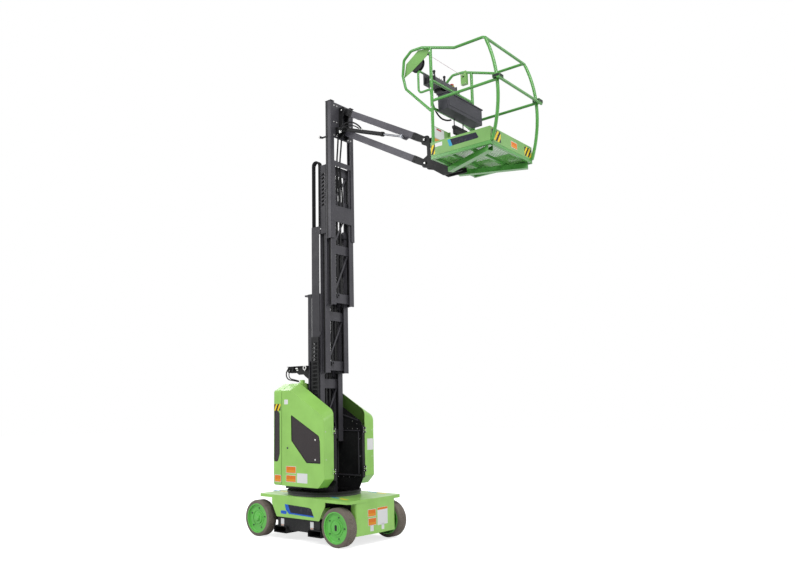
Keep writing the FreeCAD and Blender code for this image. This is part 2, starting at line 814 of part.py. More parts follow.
def jib_arm(low):
    """A box arm with a forked casting's boss at each end, drawn level and then turned."""
    x0 = pivot_x
    x1 = pivot_x + jib_len
    z = pivot_z
    half = arm_w / 2
    boss = head_half - ear_t - 0.5
    beam = box(x0 + 90, x1 - 150, -half, half, z - arm_h / 2, z + arm_h / 2)
    beam = beam.cut(box(x0 + 80, x1 - 140, -half + 5, half - 5, z - arm_h / 2 + 5, z + arm_h / 2 - 5))
    rear = fuse(bar((x0, -boss, z), (x0, boss, z), boss_r - 4),
                prism([(x0, z - 30), (x0 + 95, z - arm_h / 2, 6), (x0 + 120, z - arm_h / 2),
                       (x0 + 120, z + arm_h / 2), (x0 + 95, z + arm_h / 2, 6), (x0, z + 30)],
                      "xz", -half, half))
    front = fuse(bar((x1, -boss_front(), z), (x1, boss_front(), z), boss_r - 4),
                 prism([(x1, z - 30), (x1 - 150, z - arm_h / 2, 8), (x1 - 180, z - arm_h / 2),
                        (x1 - 180, z + arm_h / 2), (x1 - 150, z + arm_h / 2, 8), (x1, z + 30)],
                       "xz", -half, half))
    arm = fuse(beam, rear, front)
    for x in (x0, x1):
        arm = arm.cut(bar((x, -100, z), (x, 100, z), jib_pin_r + pin_gap))
    arm = turned(arm, jib_drop)
    if low:
        arm.translate(Vector(0, 0, -link_h))
    return arm


def boss_front():
    return carrier_half - carrier_t - 0.5


def jib_upper_arm():
    arm = jib_arm(False)
    along, below = jib_eye
    half = arm_w / 2
    x = pivot_x + along
    lug = prism([(x - 55, pivot_z - arm_h / 2 + 4), (x - 24, pivot_z + below - 10, 10),
                 (x + 24, pivot_z + below - 10, 10), (x + 55, pivot_z - arm_h / 2 + 4)],
                "xz", -half, -half + 20)
    pin = bar((x, cylinder_y + jib_rod_r + 0.5, pivot_z + below + 10), (x, -half + 2, pivot_z + below + 10), 14)
    return fuse(arm, turned(fuse(lug, pin), jib_drop))


def cylinder_line():
    """The jib cylinder's foot, eye and unit direction in the XZ plane."""
    foot_x, foot_z = jib_foot_point()
    along, below = jib_eye
    eye_x, eye_z = jib_point(along, below + 10)
    length = math.hypot(eye_x - foot_x, eye_z - foot_z)
    return foot_x, foot_z, eye_x, eye_z, (eye_x - foot_x) / length, (eye_z - foot_z) / length


def jib_barrel():
    foot_x, foot_z, eye_x, eye_z, ux, uz = cylinder_line()
    y = cylinder_y
    start = (foot_x + ux * 20, y, foot_z + uz * 20)
    end = (foot_x + ux * jib_barrel_len, y, foot_z + uz * jib_barrel_len)
    body = bar(start, end, jib_barrel_r)
    neck = (foot_x + ux * (jib_barrel_len - 30), y, foot_z + uz * (jib_barrel_len - 30))
    body = fuse(body, bar(neck, end, jib_barrel_r + 4))
    bore_start = (foot_x + ux * barrel_floor, y, foot_z + uz * barrel_floor)
    bore_end = (foot_x + ux * (jib_barrel_len + 5), y, foot_z + uz * (jib_barrel_len + 5))
    body = body.cut(bar(bore_start, bore_end, jib_rod_r + 0.3))
    eye = bar((foot_x, y - 18, foot_z), (foot_x, y + 18, foot_z), 24)
    body = fuse(body, eye)
    return body.cut(bar((foot_x, y - 40, foot_z), (foot_x, y + 40, foot_z), 12 + pin_gap))


def jib_rod():
    foot_x, foot_z, eye_x, eye_z, ux, uz = cylinder_line()
    y = cylinder_y
    start = (foot_x + ux * rod_inside, y, foot_z + uz * rod_inside)
    body = bar(start, (eye_x, y, eye_z), jib_rod_r)
    eye = bar((eye_x, y - jib_rod_r, eye_z), (eye_x, y + jib_rod_r, eye_z), 20)
    bolt = bar((eye_x, y - jib_rod_r - 6, eye_z), (eye_x, y, eye_z), 12)
    return fuse(body, eye, bolt)


# Turret bodywork

def cowl_profile(inset, drop):
    """A side door's outline in XZ, its roof lower by drop and every edge moved in by inset."""
    top = cowl_top - drop
    front = cowl_front - inset
    rear = cowl_seam + seam_gap / 2 + inset
    low = cowl_bottom + inset
    return [(rear, low), (front - cowl_chamfer + inset / 2, low, 20), (front, low + cowl_chamfer - inset / 2, 30),
            (front, roof_front_z - drop * 0.8 - inset / 2, 90), (roof_break, top - inset, 40),
            (rear, top - inset)]


def loft(first, second):
    return Part.makeLoft([first, second], True, True)


def door(side):
    """Hinged side cowl: outer face, sloped roof and front return, open inboard."""
    outer = loft(profile(cowl_profile(0, roof_drop), "xz", cowl_out),
                 profile(cowl_profile(0, 0), "xz", cowl_in))
    inner = loft(profile(cowl_profile(sheet, roof_drop), "xz", cowl_out - sheet),
                 profile(cowl_profile(sheet, 0), "xz", cowl_in - 0.5))
    shell = outer.cut(inner)
    window = prism(mesh_outline(0), "xz", cowl_out - sheet - 1, cowl_out + 1)
    shell = shell.cut(window)
    return shell if side > 0 else mirrored(shell)


def mesh_outline(inset):
    i = inset
    return [(-118 + i, 1385 - 1.6 * i, 12), (322 - i, 1150 - 0.4 * i, 30), (338 - i, 1090, 30),
            (345 - i, 850 + i, 12), (130 + 0.6 * i, 850 + i, 12), (-112 + i, 1090 + 0.4 * i, 40)]


def mesh_panel(side):
    """Dark perforated panel that closes the door's opening from inside."""
    panel = prism(mesh_outline(-14), "xz", cowl_out - sheet - 4, cowl_out - sheet)
    return panel if side > 0 else mirrored(panel)


def hood_outline(inset):
    half = cowl_out - inset
    low = cowl_bottom + inset
    side_top = cowl_top - roof_drop - inset / 2
    return [(-half, low, 20), (-half, side_top, 30), (-cowl_in + inset / 2, cowl_top - inset, 30),
            (cowl_in - inset / 2, cowl_top - inset, 30), (half, side_top, 30), (half, low, 20)]


def rear_cover():
    """Fixed hood round the back of the turret, open towards the mast."""
    seam = cowl_seam - seam_gap / 2
    outer = prism(hood_outline(0), "yz", cowl_rear, seam)
    uprights = [e for e in outer.Edges
                if abs(e.BoundBox.XMax - cowl_rear) < 1 and abs(e.BoundBox.XMin - cowl_rear) < 1]
    outer = outer.makeFillet(35, uprights)
    inner = prism(hood_outline(sheet), "yz", cowl_rear + sheet, seam + 1)
    uprights = [e for e in inner.Edges
                if abs(e.BoundBox.XMax - cowl_rear - sheet) < 1 and abs(e.BoundBox.XMin - cowl_rear - sheet) < 1]
    inner = inner.makeFillet(32, uprights)
    shell = outer.cut(inner)
    front = roof_break - 12
    low = battery_top + 5
    cap = box(seam, front, -hood_half, hood_half, low, cowl_top)
    cap = cap.cut(box(seam - 1, front - sheet, -hood_half + sheet, hood_half - sheet,
                      low - 1, cowl_top - sheet))
    shell = shell.cut(box(cowl_rear + sheet, seam + 1, -wall_y, wall_y, 0, battery_top + 5))
    whole = fuse(shell, cap)
    for side in (1, -1):
        window = cover_window(0)
        whole = whole.cut(window if side > 0 else mirrored(window))
    return whole


def cover_window(inset):
    """Space that the dark panel at the cover's rear corner fills, on the left side."""
    i = inset
    points = [(cowl_rear + 22 + i, 850 + i, 20), (cowl_seam - 60 - i, 850 + i, 30), (cowl_seam - 30 - i, 940, 30),
              (cowl_seam - 34 - i, 1400, 20), (cowl_seam - 70 - i, 1440 - i, 20), (cowl_rear + 22 + i, 1440 - i, 20)]
    return prism(points, "xz", cowl_out - 40, cowl_out + 1)


def cover_panel():
    outline = cover_window(-12)
    return outline.common(box(-600, 0, cowl_out - sheet - 4, cowl_out - sheet, 0, 2000)).cut(
        box(-600, cowl_rear + sheet + 32, 0, 600, 0, 2000))


def side_frames():
    """Inner wall, floor tray and hinge flange of each compartment beside the mast."""
    top = roof_front_z - 45
    front = cowl_front
    wall = prism([(roof_break, table_top), (340, table_top), (front - 6, table_top + 110, 20),
                  (front - 6, top - 90, 60), (roof_break, cowl_top - 140)],
                 "xz", wall_y, wall_y + wall_t)
    flange = box(front - 6, front, wall_y, cowl_in - 6, table_top + 130, top - 130)
    tray = box(roof_break, front - 20, wall_y + wall_t, cowl_out - sheet - run_gap - 2,
               cowl_bottom + sheet + run_gap + 1, cowl_bottom + sheet + run_gap + 7)
    tray = tray.cut(box(front - cowl_chamfer - 20, front, 200, 500, 500, 640))
    piece = fuse(wall, flange, tray)
    return both(piece)


def hinges(side, moving):
    """Butt hinges on the cowl's front edge: the fixed or the moving leaves."""
    axis_x = cowl_front + hinge_r + 0.5
    axis_y = cowl_in - 3
    pieces = []
    for z in hinge_levels:
        low = z - hinge_h / 2
        third = hinge_h / 3
        if moving:
            spans = [(low + third + 0.3, low + 2 * third - 0.3)]
            leaf = box(cowl_front, cowl_front + leaf_t, axis_y + 3.5, axis_y + leaf_w,
                       low, low + hinge_h)
        else:
            spans = [(low, low + third - 0.3), (low + 2 * third + 0.3, low + hinge_h)]
            leaf = box(cowl_front, cowl_front + leaf_t, axis_y - leaf_w, axis_y - 3.5,
                       low, low + hinge_h)
        solid = leaf
        for z0, z1 in spans:
            solid = solid.fuse(bar((axis_x, axis_y, z0), (axis_x, axis_y, z1), hinge_r))
        if moving:
            other = [(low - 1, low + third + 0.3), (low + 2 * third - 0.3, low + hinge_h + 1)]
        else:
            other = [(low + third - 0.3, low + 2 * third + 0.3)]
        for z0, z1 in other:
            solid = solid.cut(bar((axis_x, axis_y, z0), (axis_x, axis_y, z1), hinge_r + 0.5))
        solid = solid.cut(bar((axis_x, axis_y, low - 2), (axis_x, axis_y, low + hinge_h + 2),
                              hinge_pin_r + (pin_gap if moving else 0)))
        if not moving:
            solid = solid.fuse(bar((axis_x, axis_y, low), (axis_x, axis_y, low + hinge_h), hinge_pin_r))
        pieces.append(solid)
    compound = Part.makeCompound(pieces)
    return compound if side > 0 else mirrored(compound)


def battery_block():
    return box(cowl_rear + sheet, cyl_x - barrel_r - 30, -wall_y + 5, wall_y - 5,
               table_top, battery_top)


def lift_rams():
    rams = [bar((cyl_x, side * cyl_y, table_top), (cyl_x, side * cyl_y, ram_top), ram_r)
            for side in (1, -1)]
    return Part.makeCompound(rams)


def lift_barrels():
    top = section_foot(2) + section_len
    barrels = []
    for side in (1, -1):
        body = bar((cyl_x, side * cyl_y, barrel_foot), (cyl_x, side * cyl_y, top), barrel_r)
        bore = bar((cyl_x, side * cyl_y, barrel_foot - 1), (cyl_x, side * cyl_y, top - 20), barrel_bore)
        gland = pipe((cyl_x, side * cyl_y, barrel_foot), (cyl_x, side * cyl_y, barrel_foot + 40),
                     barrel_r + 3, ram_r + 0.3)
        barrels.append(fuse(body.cut(bore), gland))
    return Part.makeCompound(barrels)


# Basket

def carrier():
    """Twin plates from the jib's two front pins down to the basket's beams."""
    tip_x, tip_z = jib_tip()
    low_z = tip_z - link_h
    plates = []
    for side in (1, -1):
        y0, y1 = sorted((side * (carrier_half - carrier_t), side * carrier_half))
        plates.append(prism([(tip_x - boss_r, low_z - boss_r, 30), (tip_x + 60, low_z - 70, 30),
                             (tip_x + 230, beam_z, 20), (floor_rear + 130, beam_z),
                             (floor_rear + 130, floor_z), (floor_rear - 15, floor_z, 10),
                             (tip_x + 130, low_z + 40, 40), (tip_x + 70, low_z + 130, 40),
                             (tip_x + 60, tip_z + boss_r, 30), (tip_x - boss_r, tip_z + boss_r, 30),
                             (tip_x - boss_r, tip_z - 45, 20), (tip_x + 30, tip_z - 80, 20),
                             (tip_x + 30, low_z + 80, 20), (tip_x - boss_r, low_z + 45, 20)],
                            "xz", y0, y1))
    web = prism([(tip_x + 140, low_z + 20), (tip_x + 160, low_z + 20), (floor_rear - 8, floor_z),
                 (floor_rear - 26, floor_z - 4)], "xz", -carrier_half + carrier_t, carrier_half - carrier_t)
    pins = []
    for z in (tip_z, low_z):
        pins.append(bar((tip_x, -carrier_half - 5, z), (tip_x, carrier_half + 5, z), jib_pin_r))
    return fuse(plates[0], plates[1], web, *pins)


def floor_beams():
    """Two channels spread from the carrier to the basket's front corners."""
    beams = []
    start = Vector(floor_rear + 10, carrier_half + 34, 0)
    end = Vector(floor_front - 30, floor_half - 45, 0)
    along = (end - start).normalize()
    across = Vector(-along.y, along.x, 0) * (beam_w / 2)
    corners = [start - across, end - across, end + across, start + across]
    beam = prism([(c.x, c.y) for c in corners], "xy", beam_z, floor_z)
    inner = prism([(c.x, c.y) for c in (start - across * 0.84 - along * 10, end - across * 0.84 + along * 10,
                                        end + across * 0.84 + along * 10, start + across * 0.84 - along * 10)],
                  "xy", beam_z + 5, floor_z + 1)
    beam = beam.cut(inner)
    beams = [beam, mirrored(beam)]
    tie = box(floor_rear + 5, floor_rear + 50, carrier_half, 110, beam_z + 5, floor_z)
    beams += [tie, mirrored(tie)]
    return fuse(*beams)


def basket_floor():
    """Perimeter frame, lateral ribs and the deck plate."""
    low = floor_z
    top = floor_z + frame_h
    edge = toe_t + 1
    notch = toe_t + 2 * post_r + 8
    half = floor_half - edge
    rear = floor_rear + edge
    front = floor_front - edge
    inner_y = floor_half - notch
    outline = [(rear, -inner_y), (floor_rear + notch, -inner_y), (floor_rear + notch, -half),
               (floor_front - notch, -half), (floor_front - notch, -inner_y), (front, -inner_y),
               (front, inner_y), (floor_front - notch, inner_y), (floor_front - notch, half),
               (floor_rear + notch, half), (floor_rear + notch, inner_y), (rear, inner_y)]
    plate = prism(outline, "xy", top, top + plate_t)
    ring = box(floor_rear, floor_front, -floor_half, floor_half, low, top).cut(
        box(floor_rear + 30, floor_front - 30, -floor_half + 30, floor_half - 30, low - 1, top + 1))
    ribs = [box(x, x + 30, -floor_half + 20, floor_half - 20, low + 6, top)
            for x in (floor_rear + 200, floor_rear + 440)]
    return fuse(plate, ring, *ribs)


def toe_boards():
    """Upstands on both sides, the front and, lower, the rear."""
    base = base_z()
    top = floor_z + toe_h
    outer = box(floor_rear, floor_front, -floor_half, floor_half, base, top)
    inner = box(floor_rear + toe_t, floor_front - toe_t, -floor_half + toe_t, floor_half - toe_t,
                base - 1, top + 1)
    boards = outer.cut(inner)
    for side in (1, -1):
        boards = boards.cut(front_post(side)).cut(rear_post(side))
    return boards


def base_z():
    """Top of the basket's frame, which the posts and boards stand on."""
    return floor_z + frame_h


def post_y():
    return floor_half - post_r - toe_t


def rear_post_x():
    return floor_rear + post_r + toe_t


def front_post_arc(side):
    """Centre line of a front corner post, which bows forward from floor to top rail."""
    base = base_z()
    foot = Vector(post_foot_x, side * post_y(), base - 30)
    head = Vector(post_head_x, side * post_y(), rail_z - 45)
    middle = (foot + head) * 0.5 + Vector(post_bulge, 0, 0)
    return Part.Arc(foot, middle, head)


def front_post(side):
    arc = front_post_arc(side)
    path = Part.Wire([arc.toShape()])
    along = arc.tangent(arc.FirstParameter)[0]
    ring = Part.Wire([Part.Circle(arc.StartPoint, along, post_r).toShape()])
    post = path.makePipeShell([ring], True, False)
    base = base_z()
    return post.cut(box(post_foot_x - 100, post_foot_x + 100, -floor_half, floor_half, base - 100, base))


def front_posts():
    return Part.makeCompound([front_post(1), front_post(-1)])


def side_rail(side):
    """Top rail of one side: on from the front post, back over the kink and round the hoop."""
    arc = front_post_arc(side)
    y = side * post_y()
    start = arc.EndPoint
    along = arc.tangent(arc.LastParameter)[0]
    apex = start + along * ((rail_z - start.z) / along.z)
    points = [tuple(start), tuple(apex), (rail_kink_x, y, rail_z + 5),
              (hoop_x + 250, y, rail_z + hoop_rise - 8), (hoop_x + 110, y, rail_z + hoop_rise),
              (hoop_x + 12, y, rail_z + hoop_rise - 75), (hoop_x - 8, y, guard_top),
              (hoop_x + 28, y, rear_lateral_z[1]), (rear_post_x(), y, hoop_low_z)]
    plain = bar((rear_post_x(), y, base_z()), (rear_post_x(), y, mid_z + 200), post_r)
    return tube(points, rail_r, 48).cut(plain)


def rear_post(side):
    base = base_z()
    x = rear_post_x()
    y = side * post_y()
    post = bar((x, y, base), (x, y, rail_rear_z), post_r)
    return post.cut(side_rail(side))


def rear_posts():
    return Part.makeCompound([rear_post(1), rear_post(-1)])


def top_rails():
    return Part.makeCompound([side_rail(1), side_rail(-1)])


def front_cross_rail():
    """Cross tube that joins the two top rails at the front."""
    start = front_post_arc(1).EndPoint
    y = post_y()
    cross = bar((start.x - 12, -y, rail_z - 12), (start.x - 12, y, rail_z - 12), rail_r)
    for side in (1, -1):
        cross = cross.cut(side_rail(side)).cut(front_post(side))
    return max(cross.Solids, key=lambda solid: solid.Volume)


def mid_post_x():
    """Centre of the front post at the mid rail's height."""
    circle = front_post_arc(1).toShape().Curve
    return circle.Center.x + math.sqrt(circle.Radius ** 2 - (mid_z - circle.Center.z) ** 2)


def mid_rails():
    """Side mid rails between the posts."""
    rails = []
    for side in (1, -1):
        y = side * post_y()
        rail = bar((rear_post_x(), y, mid_z), (mid_post_x(), y, mid_z), rail_r)
        rails.append(rail.cut(front_post(side)).cut(rear_post(side)))
    return Part.makeCompound(rails)


def rear_laterals():
    """Cross tubes between the rear posts."""
    tubes = []
    for z in rear_lateral_z:
        rail = bar((rear_post_x(), -post_y(), z), (rear_post_x(), post_y(), z), rail_r)
        for side in (1, -1):
            rail = rail.cut(rear_post(side))
        tubes.append(rail)
    return Part.makeCompound(tubes)


def console_guard():
    """Bent frame behind the rear posts that carries the console."""
    x = guard_x
    y = post_y()
    points = [(rear_post_x(), y, guard_low), (x, y, guard_low), (x, y, guard_top),
              (x, -y, guard_top), (x, -y, guard_low), (rear_post_x(), -y, guard_low)]
    guard = tube(points, guard_r, 45)
    for side in (1, -1):
        guard = guard.cut(rear_post(side))
    return guard


def console():
    """Platform control box on a shelf between the guard and the rear posts."""
    back = guard_x + guard_r
    low = rear_lateral_z[1] + rail_r
    front = rear_post_x() - 22
    shelf = fuse(box(back, rear_post_x() + 8, -330, 130, low, low + 4),
                 box(back, back + 4, -330, 130, low, guard_top))
    body = prism([(back + 4, low + 4), (front, low + 4, 8), (front, low + 75, 12), (back + 4, low + 115, 12)],
                 "xz", -300, 110)
    boots = []
    for y in (-215, -20):
        boots.append(spun([(0, 0), (0, 24), (22, 12), (30, 8), (70, 9), (78, 0)],
                          Vector(back + 60, y, low + 88), Vector(0, 0, 1)))
    stop = spun([(0, 0), (0, 15), (22, 15), (24, 21), (36, 19), (36, 0)],
                Vector(front - 30, 70, low + 74), Vector(0, 0, 1))
    return fuse(shelf, body, stop, *boots)


def tool_tray():
    """Open plastic tray hooked inside the rear cross tubes."""
    x0 = rear_post_x() + post_r + 2
    low = rear_lateral_z[0] - 20
    outer = box(x0, x0 + 130, -330, 350, low, low + 185)
    outer = outer.makeFillet(14, [e for e in outer.Edges if abs(e.BoundBox.ZLength - 185) < 1])
    inner = box(x0 + 4, x0 + 126, -326, 346, low + 4, low + 186)
    tray = outer.cut(inner)
    hooks = []
    for y in (-250, 260):
        hooks.append(box(rear_post_x() + rail_r, x0, y, y + 30, rear_lateral_z[0] - 8, rear_lateral_z[0] + 8))
    return fuse(tray, *hooks)


def label_board():
    """Sheet between the rear posts above the toe board, on the near half."""
    base = floor_z + toe_h
    reach = post_y() - post_r - 1
    flat = box(floor_rear, floor_rear + toe_t, -reach, -80, base - 1, base + 205)
    fold = box(floor_rear, floor_rear + 26, -84, -80, base - 1, base + 205)
    return flat.fuse(fold).cut(rear_post(-1))


def switch_plates():
    """Plate and reel inside the near hoop, and the box inside the far hoop, of a trip wire."""
    y = post_y() - rail_r
    top = rail_z + hoop_rise
    plate = prism([(hoop_x, top - 270), (hoop_x + 30, top - 120), (hoop_x + 190, top - 15),
                   (floor_rear + 5, top - 35), (floor_rear + 5, top - 90), (hoop_x + 95, top - 230)],
                  "xz", -y, 3 - y)
    reel = spun([(0, 0), (0, 40), (34, 40), (40, 34), (40, 0)], Vector(hoop_x + 170, 3 - y, top - 130),
                Vector(0, 1, 0))
    near = fuse(plate, reel)
    x = hoop_x + 254
    far = fuse(box(x + 20, x + 50, y - 3, y, top - 130, top - 5),
               box(x, x + 70, y - 48, y - 3, top - 185, top - 60))
    return Part.makeCompound([near, far])


def entry_bar():
    """Cross bar in front of the posts, with a guide at each end; it lifts along their arc."""
    x = mid_post_x() + post_r + rail_r + 1
    reach = post_y() + 50
    rail = bar((x, -reach, mid_z), (x, reach, mid_z), rail_r)
    guides = []
    for side in (1, -1):
        y0, y1 = sorted((side * (post_y() - 34), side * (post_y() + 50)))
        guides.append(box(x - 58, x + rail_r + 4, y0, y1, mid_z + 2, mid_z + 34))
    body = fuse(rail, *guides).cut(mid_rails())
    for side in (1, -1):
        y = side * post_y()
        arc = front_post_arc(side)
        path = Part.Wire([arc.toShape()])
        along = arc.tangent(arc.FirstParameter)[0]
        ring = Part.Wire([Part.Circle(arc.StartPoint, along, post_r + 0.6).toShape()])
        body = body.cut(path.makePipeShell([ring], True, False))
    return body


def hose_bracket():
    """Plate and pulley at the base section's top rear, where the hoses turn up the mast."""
    top = mast_foot + section_len
    rear = section_front(1) - rail_depth
    plate = prism([(rear, top - 40), (rear, top - 200), (rear - 60, top - 160, 20), (rear - 190, top - 60, 10),
                   (rear - 190, top - 40)], "xz", -mast_half, -mast_half + 6)
    wheel = spun([(-14, 0), (-14, 22), (-10, 26), (10, 26), (14, 22), (14, 0)],
                 Vector(rear - 38, -mast_half - 14, top - 62), Vector(0, 1, 0))
    return fuse(plate, wheel)


def build():
    os.makedirs("parts", exist_ok=True)
    sides = (("left", 1), ("right", -1))
    for place, x in (("front", axle_x), ("rear", -axle_x)):
        for name, side in sides:
            save("tyre_" + place + "_" + name, tyre(x, side))
            save("rim_" + place + "_" + name, rim(x, side))
    for name, side in sides:
        save("knuckle_" + name, knuckle(side))
    save("rear_axle", rear_axle())
    save("drive_units", drive_units())
    save("fork_pockets", fork_pockets())
    save("chassis_frame", chassis_frame())
    save("chassis_cover", chassis_cover())
    save("slew_ring", slew_ring())
    save("turntable", turntable())
    for n in range(1, section_count):
        save("mast_section_" + str(n), mast_section(n))
        if n > 1:
            save("hose_trough_" + str(n), trough(n))
        save("lift_chain_" + str(n), lift_chain(n))
    save("hose_loop", hose_loop())
    save("mast_section_5", carriage())
    save("mast_head", mast_head())
    save("jib_upper_arm", jib_upper_arm())
    save("jib_lower_arm", jib_arm(True))
    save("jib_cylinder_barrel", jib_barrel())
    save("jib_cylinder_rod", jib_rod())
    for name, side in sides:
        save("door_" + name, door(side))
        save("door_mesh_" + name, mesh_panel(side))
        save("hinges_moving_" + name, hinges(side, True))
    save("hinge_leaves", Part.makeCompound(hinges(1, False).Solids + hinges(-1, False).Solids))
    save("rear_cover", rear_cover())
    save("side_frames", side_frames())
    save("battery_block", battery_block())
    save("lift_rams", lift_rams())
    save("lift_barrels", lift_barrels())
    save("basket_carrier", carrier())
    save("floor_beams", floor_beams())
    save("basket_floor", basket_floor())
    save("toe_boards", fuse(toe_boards(), label_board()))
    save("corner_posts", Part.makeCompound(front_posts().Solids + rear_posts().Solids))
    save("top_rails", top_rails())
    save("cross_rails", Part.makeCompound(mid_rails().Solids + rear_laterals().Solids
                                          + [front_cross_rail(), console_guard()]))
    save("console", console())
    save("tool_tray", tool_tray())
    save("switch_plates", switch_plates())
    save("entry_bar", entry_bar())
    save("hose_guides", Part.makeCompound(hose_bracket().Solids + energy_chain().Solids))
    save("cover_mesh", both(cover_panel()))


build()
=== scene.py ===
# Looks of the vertical mast lift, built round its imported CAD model. Metres, in the shared frame.
import bpy
import bmesh
import json
import math
from mathutils import Matrix, Vector


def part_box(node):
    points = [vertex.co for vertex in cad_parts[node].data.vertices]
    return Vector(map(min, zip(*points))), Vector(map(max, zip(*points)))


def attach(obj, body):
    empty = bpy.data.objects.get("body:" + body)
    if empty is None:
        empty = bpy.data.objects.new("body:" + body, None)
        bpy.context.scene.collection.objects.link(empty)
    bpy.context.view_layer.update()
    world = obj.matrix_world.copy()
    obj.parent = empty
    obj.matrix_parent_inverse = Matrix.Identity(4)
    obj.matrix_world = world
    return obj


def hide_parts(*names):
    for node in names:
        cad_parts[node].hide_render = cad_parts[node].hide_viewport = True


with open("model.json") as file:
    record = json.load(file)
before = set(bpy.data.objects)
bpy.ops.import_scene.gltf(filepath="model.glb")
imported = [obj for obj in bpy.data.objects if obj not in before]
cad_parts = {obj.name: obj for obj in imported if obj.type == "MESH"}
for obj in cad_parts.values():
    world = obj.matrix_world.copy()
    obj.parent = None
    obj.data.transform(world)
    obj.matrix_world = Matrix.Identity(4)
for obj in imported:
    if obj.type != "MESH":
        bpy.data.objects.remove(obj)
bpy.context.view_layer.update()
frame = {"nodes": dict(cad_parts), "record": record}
nodes = frame["nodes"]
scene = bpy.context.scene

X = Vector((1, 0, 0))
Y = Vector((0, 1, 0))
Z = Vector((0, 0, 1))

# Camera, light and floor
CAMERA_AT = (6.0753, -6.5242, 1.4362)
YAW, PITCH, ROLL = 2.30068, 0.16501, -0.01008
FOCAL_PX, SHIFT_PX, WIDTH_PX = 742.35, 60.0, 795.0
SENSOR_MM = 36.0
WORLD_LIGHT = 0.52
FLOOR_GLOW = 0.74


def make_camera():
    forward = Vector((math.cos(YAW) * math.cos(PITCH), math.sin(YAW) * math.cos(PITCH), math.sin(PITCH)))
    right = Vector((math.sin(YAW), -math.cos(YAW), 0))
    up = right.cross(forward)
    c, s = math.cos(ROLL), math.sin(ROLL)
    right, up = right * c + up * s, up * c - right * s
    turn = Matrix((right, up, -forward)).transposed().to_4x4()
    data = bpy.data.cameras.new("camera")
    data.sensor_width = SENSOR_MM
    data.lens = SENSOR_MM * FOCAL_PX / WIDTH_PX
    data.shift_x = SHIFT_PX / WIDTH_PX
    data.clip_end = 200
    camera = bpy.data.objects.new("camera", data)
    scene.collection.objects.link(camera)
    camera.matrix_world = Matrix.Translation(CAMERA_AT) @ turn
    scene.camera = camera


def lamp(name, at, to, energy, size, tint=(1, 1, 1)):
    data = bpy.data.lights.new(name, "AREA")
    data.shape = "DISK"
    data.energy = energy
    data.size = size
    data.color = tint
    obj = bpy.data.objects.new(name, data)
    obj.location = at
    obj.rotation_euler = (Vector(to) - Vector(at)).to_track_quat("-Z", "Y").to_euler()
    scene.collection.objects.link(obj)


def fill(tree, socket, value):
    """Links an output to the socket, or sets the socket to a plain value."""
    if hasattr(value, "links"):
        tree.links.new(value, socket)
    else:
        socket.default_value = value


def node(tree, kind, **values):
    """A new shader node, with its inputs given by name."""
    n = tree.nodes.new("ShaderNode" + kind)
    for name, value in values.items():
        fill(tree, n.inputs[name], value)
    return n


def math_node(tree, operation, a, b):
    n = node(tree, "Math")
    n.operation = operation
    fill(tree, n.inputs[0], a)
    fill(tree, n.inputs[1], b)
    return n.outputs[0]


def background_rays(tree):
    """1 for rays that find a white background: the camera's, and those through glass or off metal."""
    path = node(tree, "LightPath").outputs
    seen = math_node(tree, "MAXIMUM", path["Is Camera Ray"], path["Is Transmission Ray"])
    return math_node(tree, "MAXIMUM", seen, path["Is Glossy Ray"])


def make_world():
    world = bpy.data.worlds.new("world")
    scene.world = world
    world.use_nodes = True
    tree = world.node_tree
    tree.nodes.clear()
    light = node(tree, "Background", Color=(0.96, 0.98, 1, 1), Strength=WORLD_LIGHT)
    seen = node(tree, "Background", Color=(1, 1, 1, 1), Strength=1.0)
    mix = node(tree, "MixShader")
    for socket, value in zip(mix.inputs, (background_rays(tree), light.outputs[0], seen.outputs[0])):
        tree.links.new(value, socket)
    node(tree, "OutputWorld", Surface=mix.outputs[0])


def floor_material():
    """Pale floor that reads white to the camera and keeps the object's shadow."""
    m = bpy.data.materials.new("floor")
    m.use_nodes = True
    tree = m.node_tree
    tree.nodes.clear()
    diffuse = node(tree, "BsdfDiffuse", Color=(0.66, 0.66, 0.66, 1))
    level = math_node(tree, "MULTIPLY", background_rays(tree), FLOOR_GLOW)
    glow = node(tree, "Emission", Color=(1, 1, 1, 1), Strength=level)
    both = node(tree, "AddShader")
    tree.links.new(diffuse.outputs[0], both.inputs[0])
    tree.links.new(glow.outputs[0], both.inputs[1])
    node(tree, "OutputMaterial", Surface=both.outputs[0])
    return m


def make_studio():
    make_world()
    lamp("key", (6.5, -4.5, 9.5), (0.4, 0, 2.2), 500, 4.0, (1, 0.99, 0.97))
    lamp("side", (-4.5, -7.0, 6.0), (0, 0, 2.0), 330, 4.5)
    lamp("front", (8.0, 4.5, 4.0), (0.6, 0, 2.0), 150, 4.5)
    lamp("back", (-6.0, 5.0, 6.5), (0, 0, 2.2), 190, 4.5)
    floor = bpy.data.meshes.new("floor")
    floor.from_pydata([(-40, -40, 0), (40, -40, 0), (40, 40, 0), (-40, 40, 0)], [], [(0, 1, 2, 3)])
    obj = bpy.data.objects.new("floor", floor)
    scene.collection.objects.link(obj)
    obj.data.materials.append(floor_material())
    scene.view_settings.view_transform = "Standard"


# Material building blocks

def shader(name, color, rough=0.5, metal=0.0, coat=0.0, specular=0.5):
    m = bpy.data.materials.new(name)
    m.use_nodes = True
    b = m.node_tree.nodes["Principled BSDF"]
    for socket, value in (("Base Color", (*color, 1)), ("Roughness", rough), ("Metallic", metal),
                          ("Coat Weight", coat), ("Coat Roughness", 0.12), ("Specular IOR Level", specular)):
        b.inputs[socket].default_value = value
    return m, m.node_tree, b


def scaled(color, factor, lift=0.0):
    return tuple(min(1.0, c * factor + lift) for c in color)


def coords(tree):
    return node(tree, "TexCoord").outputs["Object"]


def noise(tree, where, scale, detail=3.0, rough=0.55):
    return node(tree, "TexNoise", Vector=where, Scale=scale, Detail=detail, Roughness=rough).outputs["Fac"]


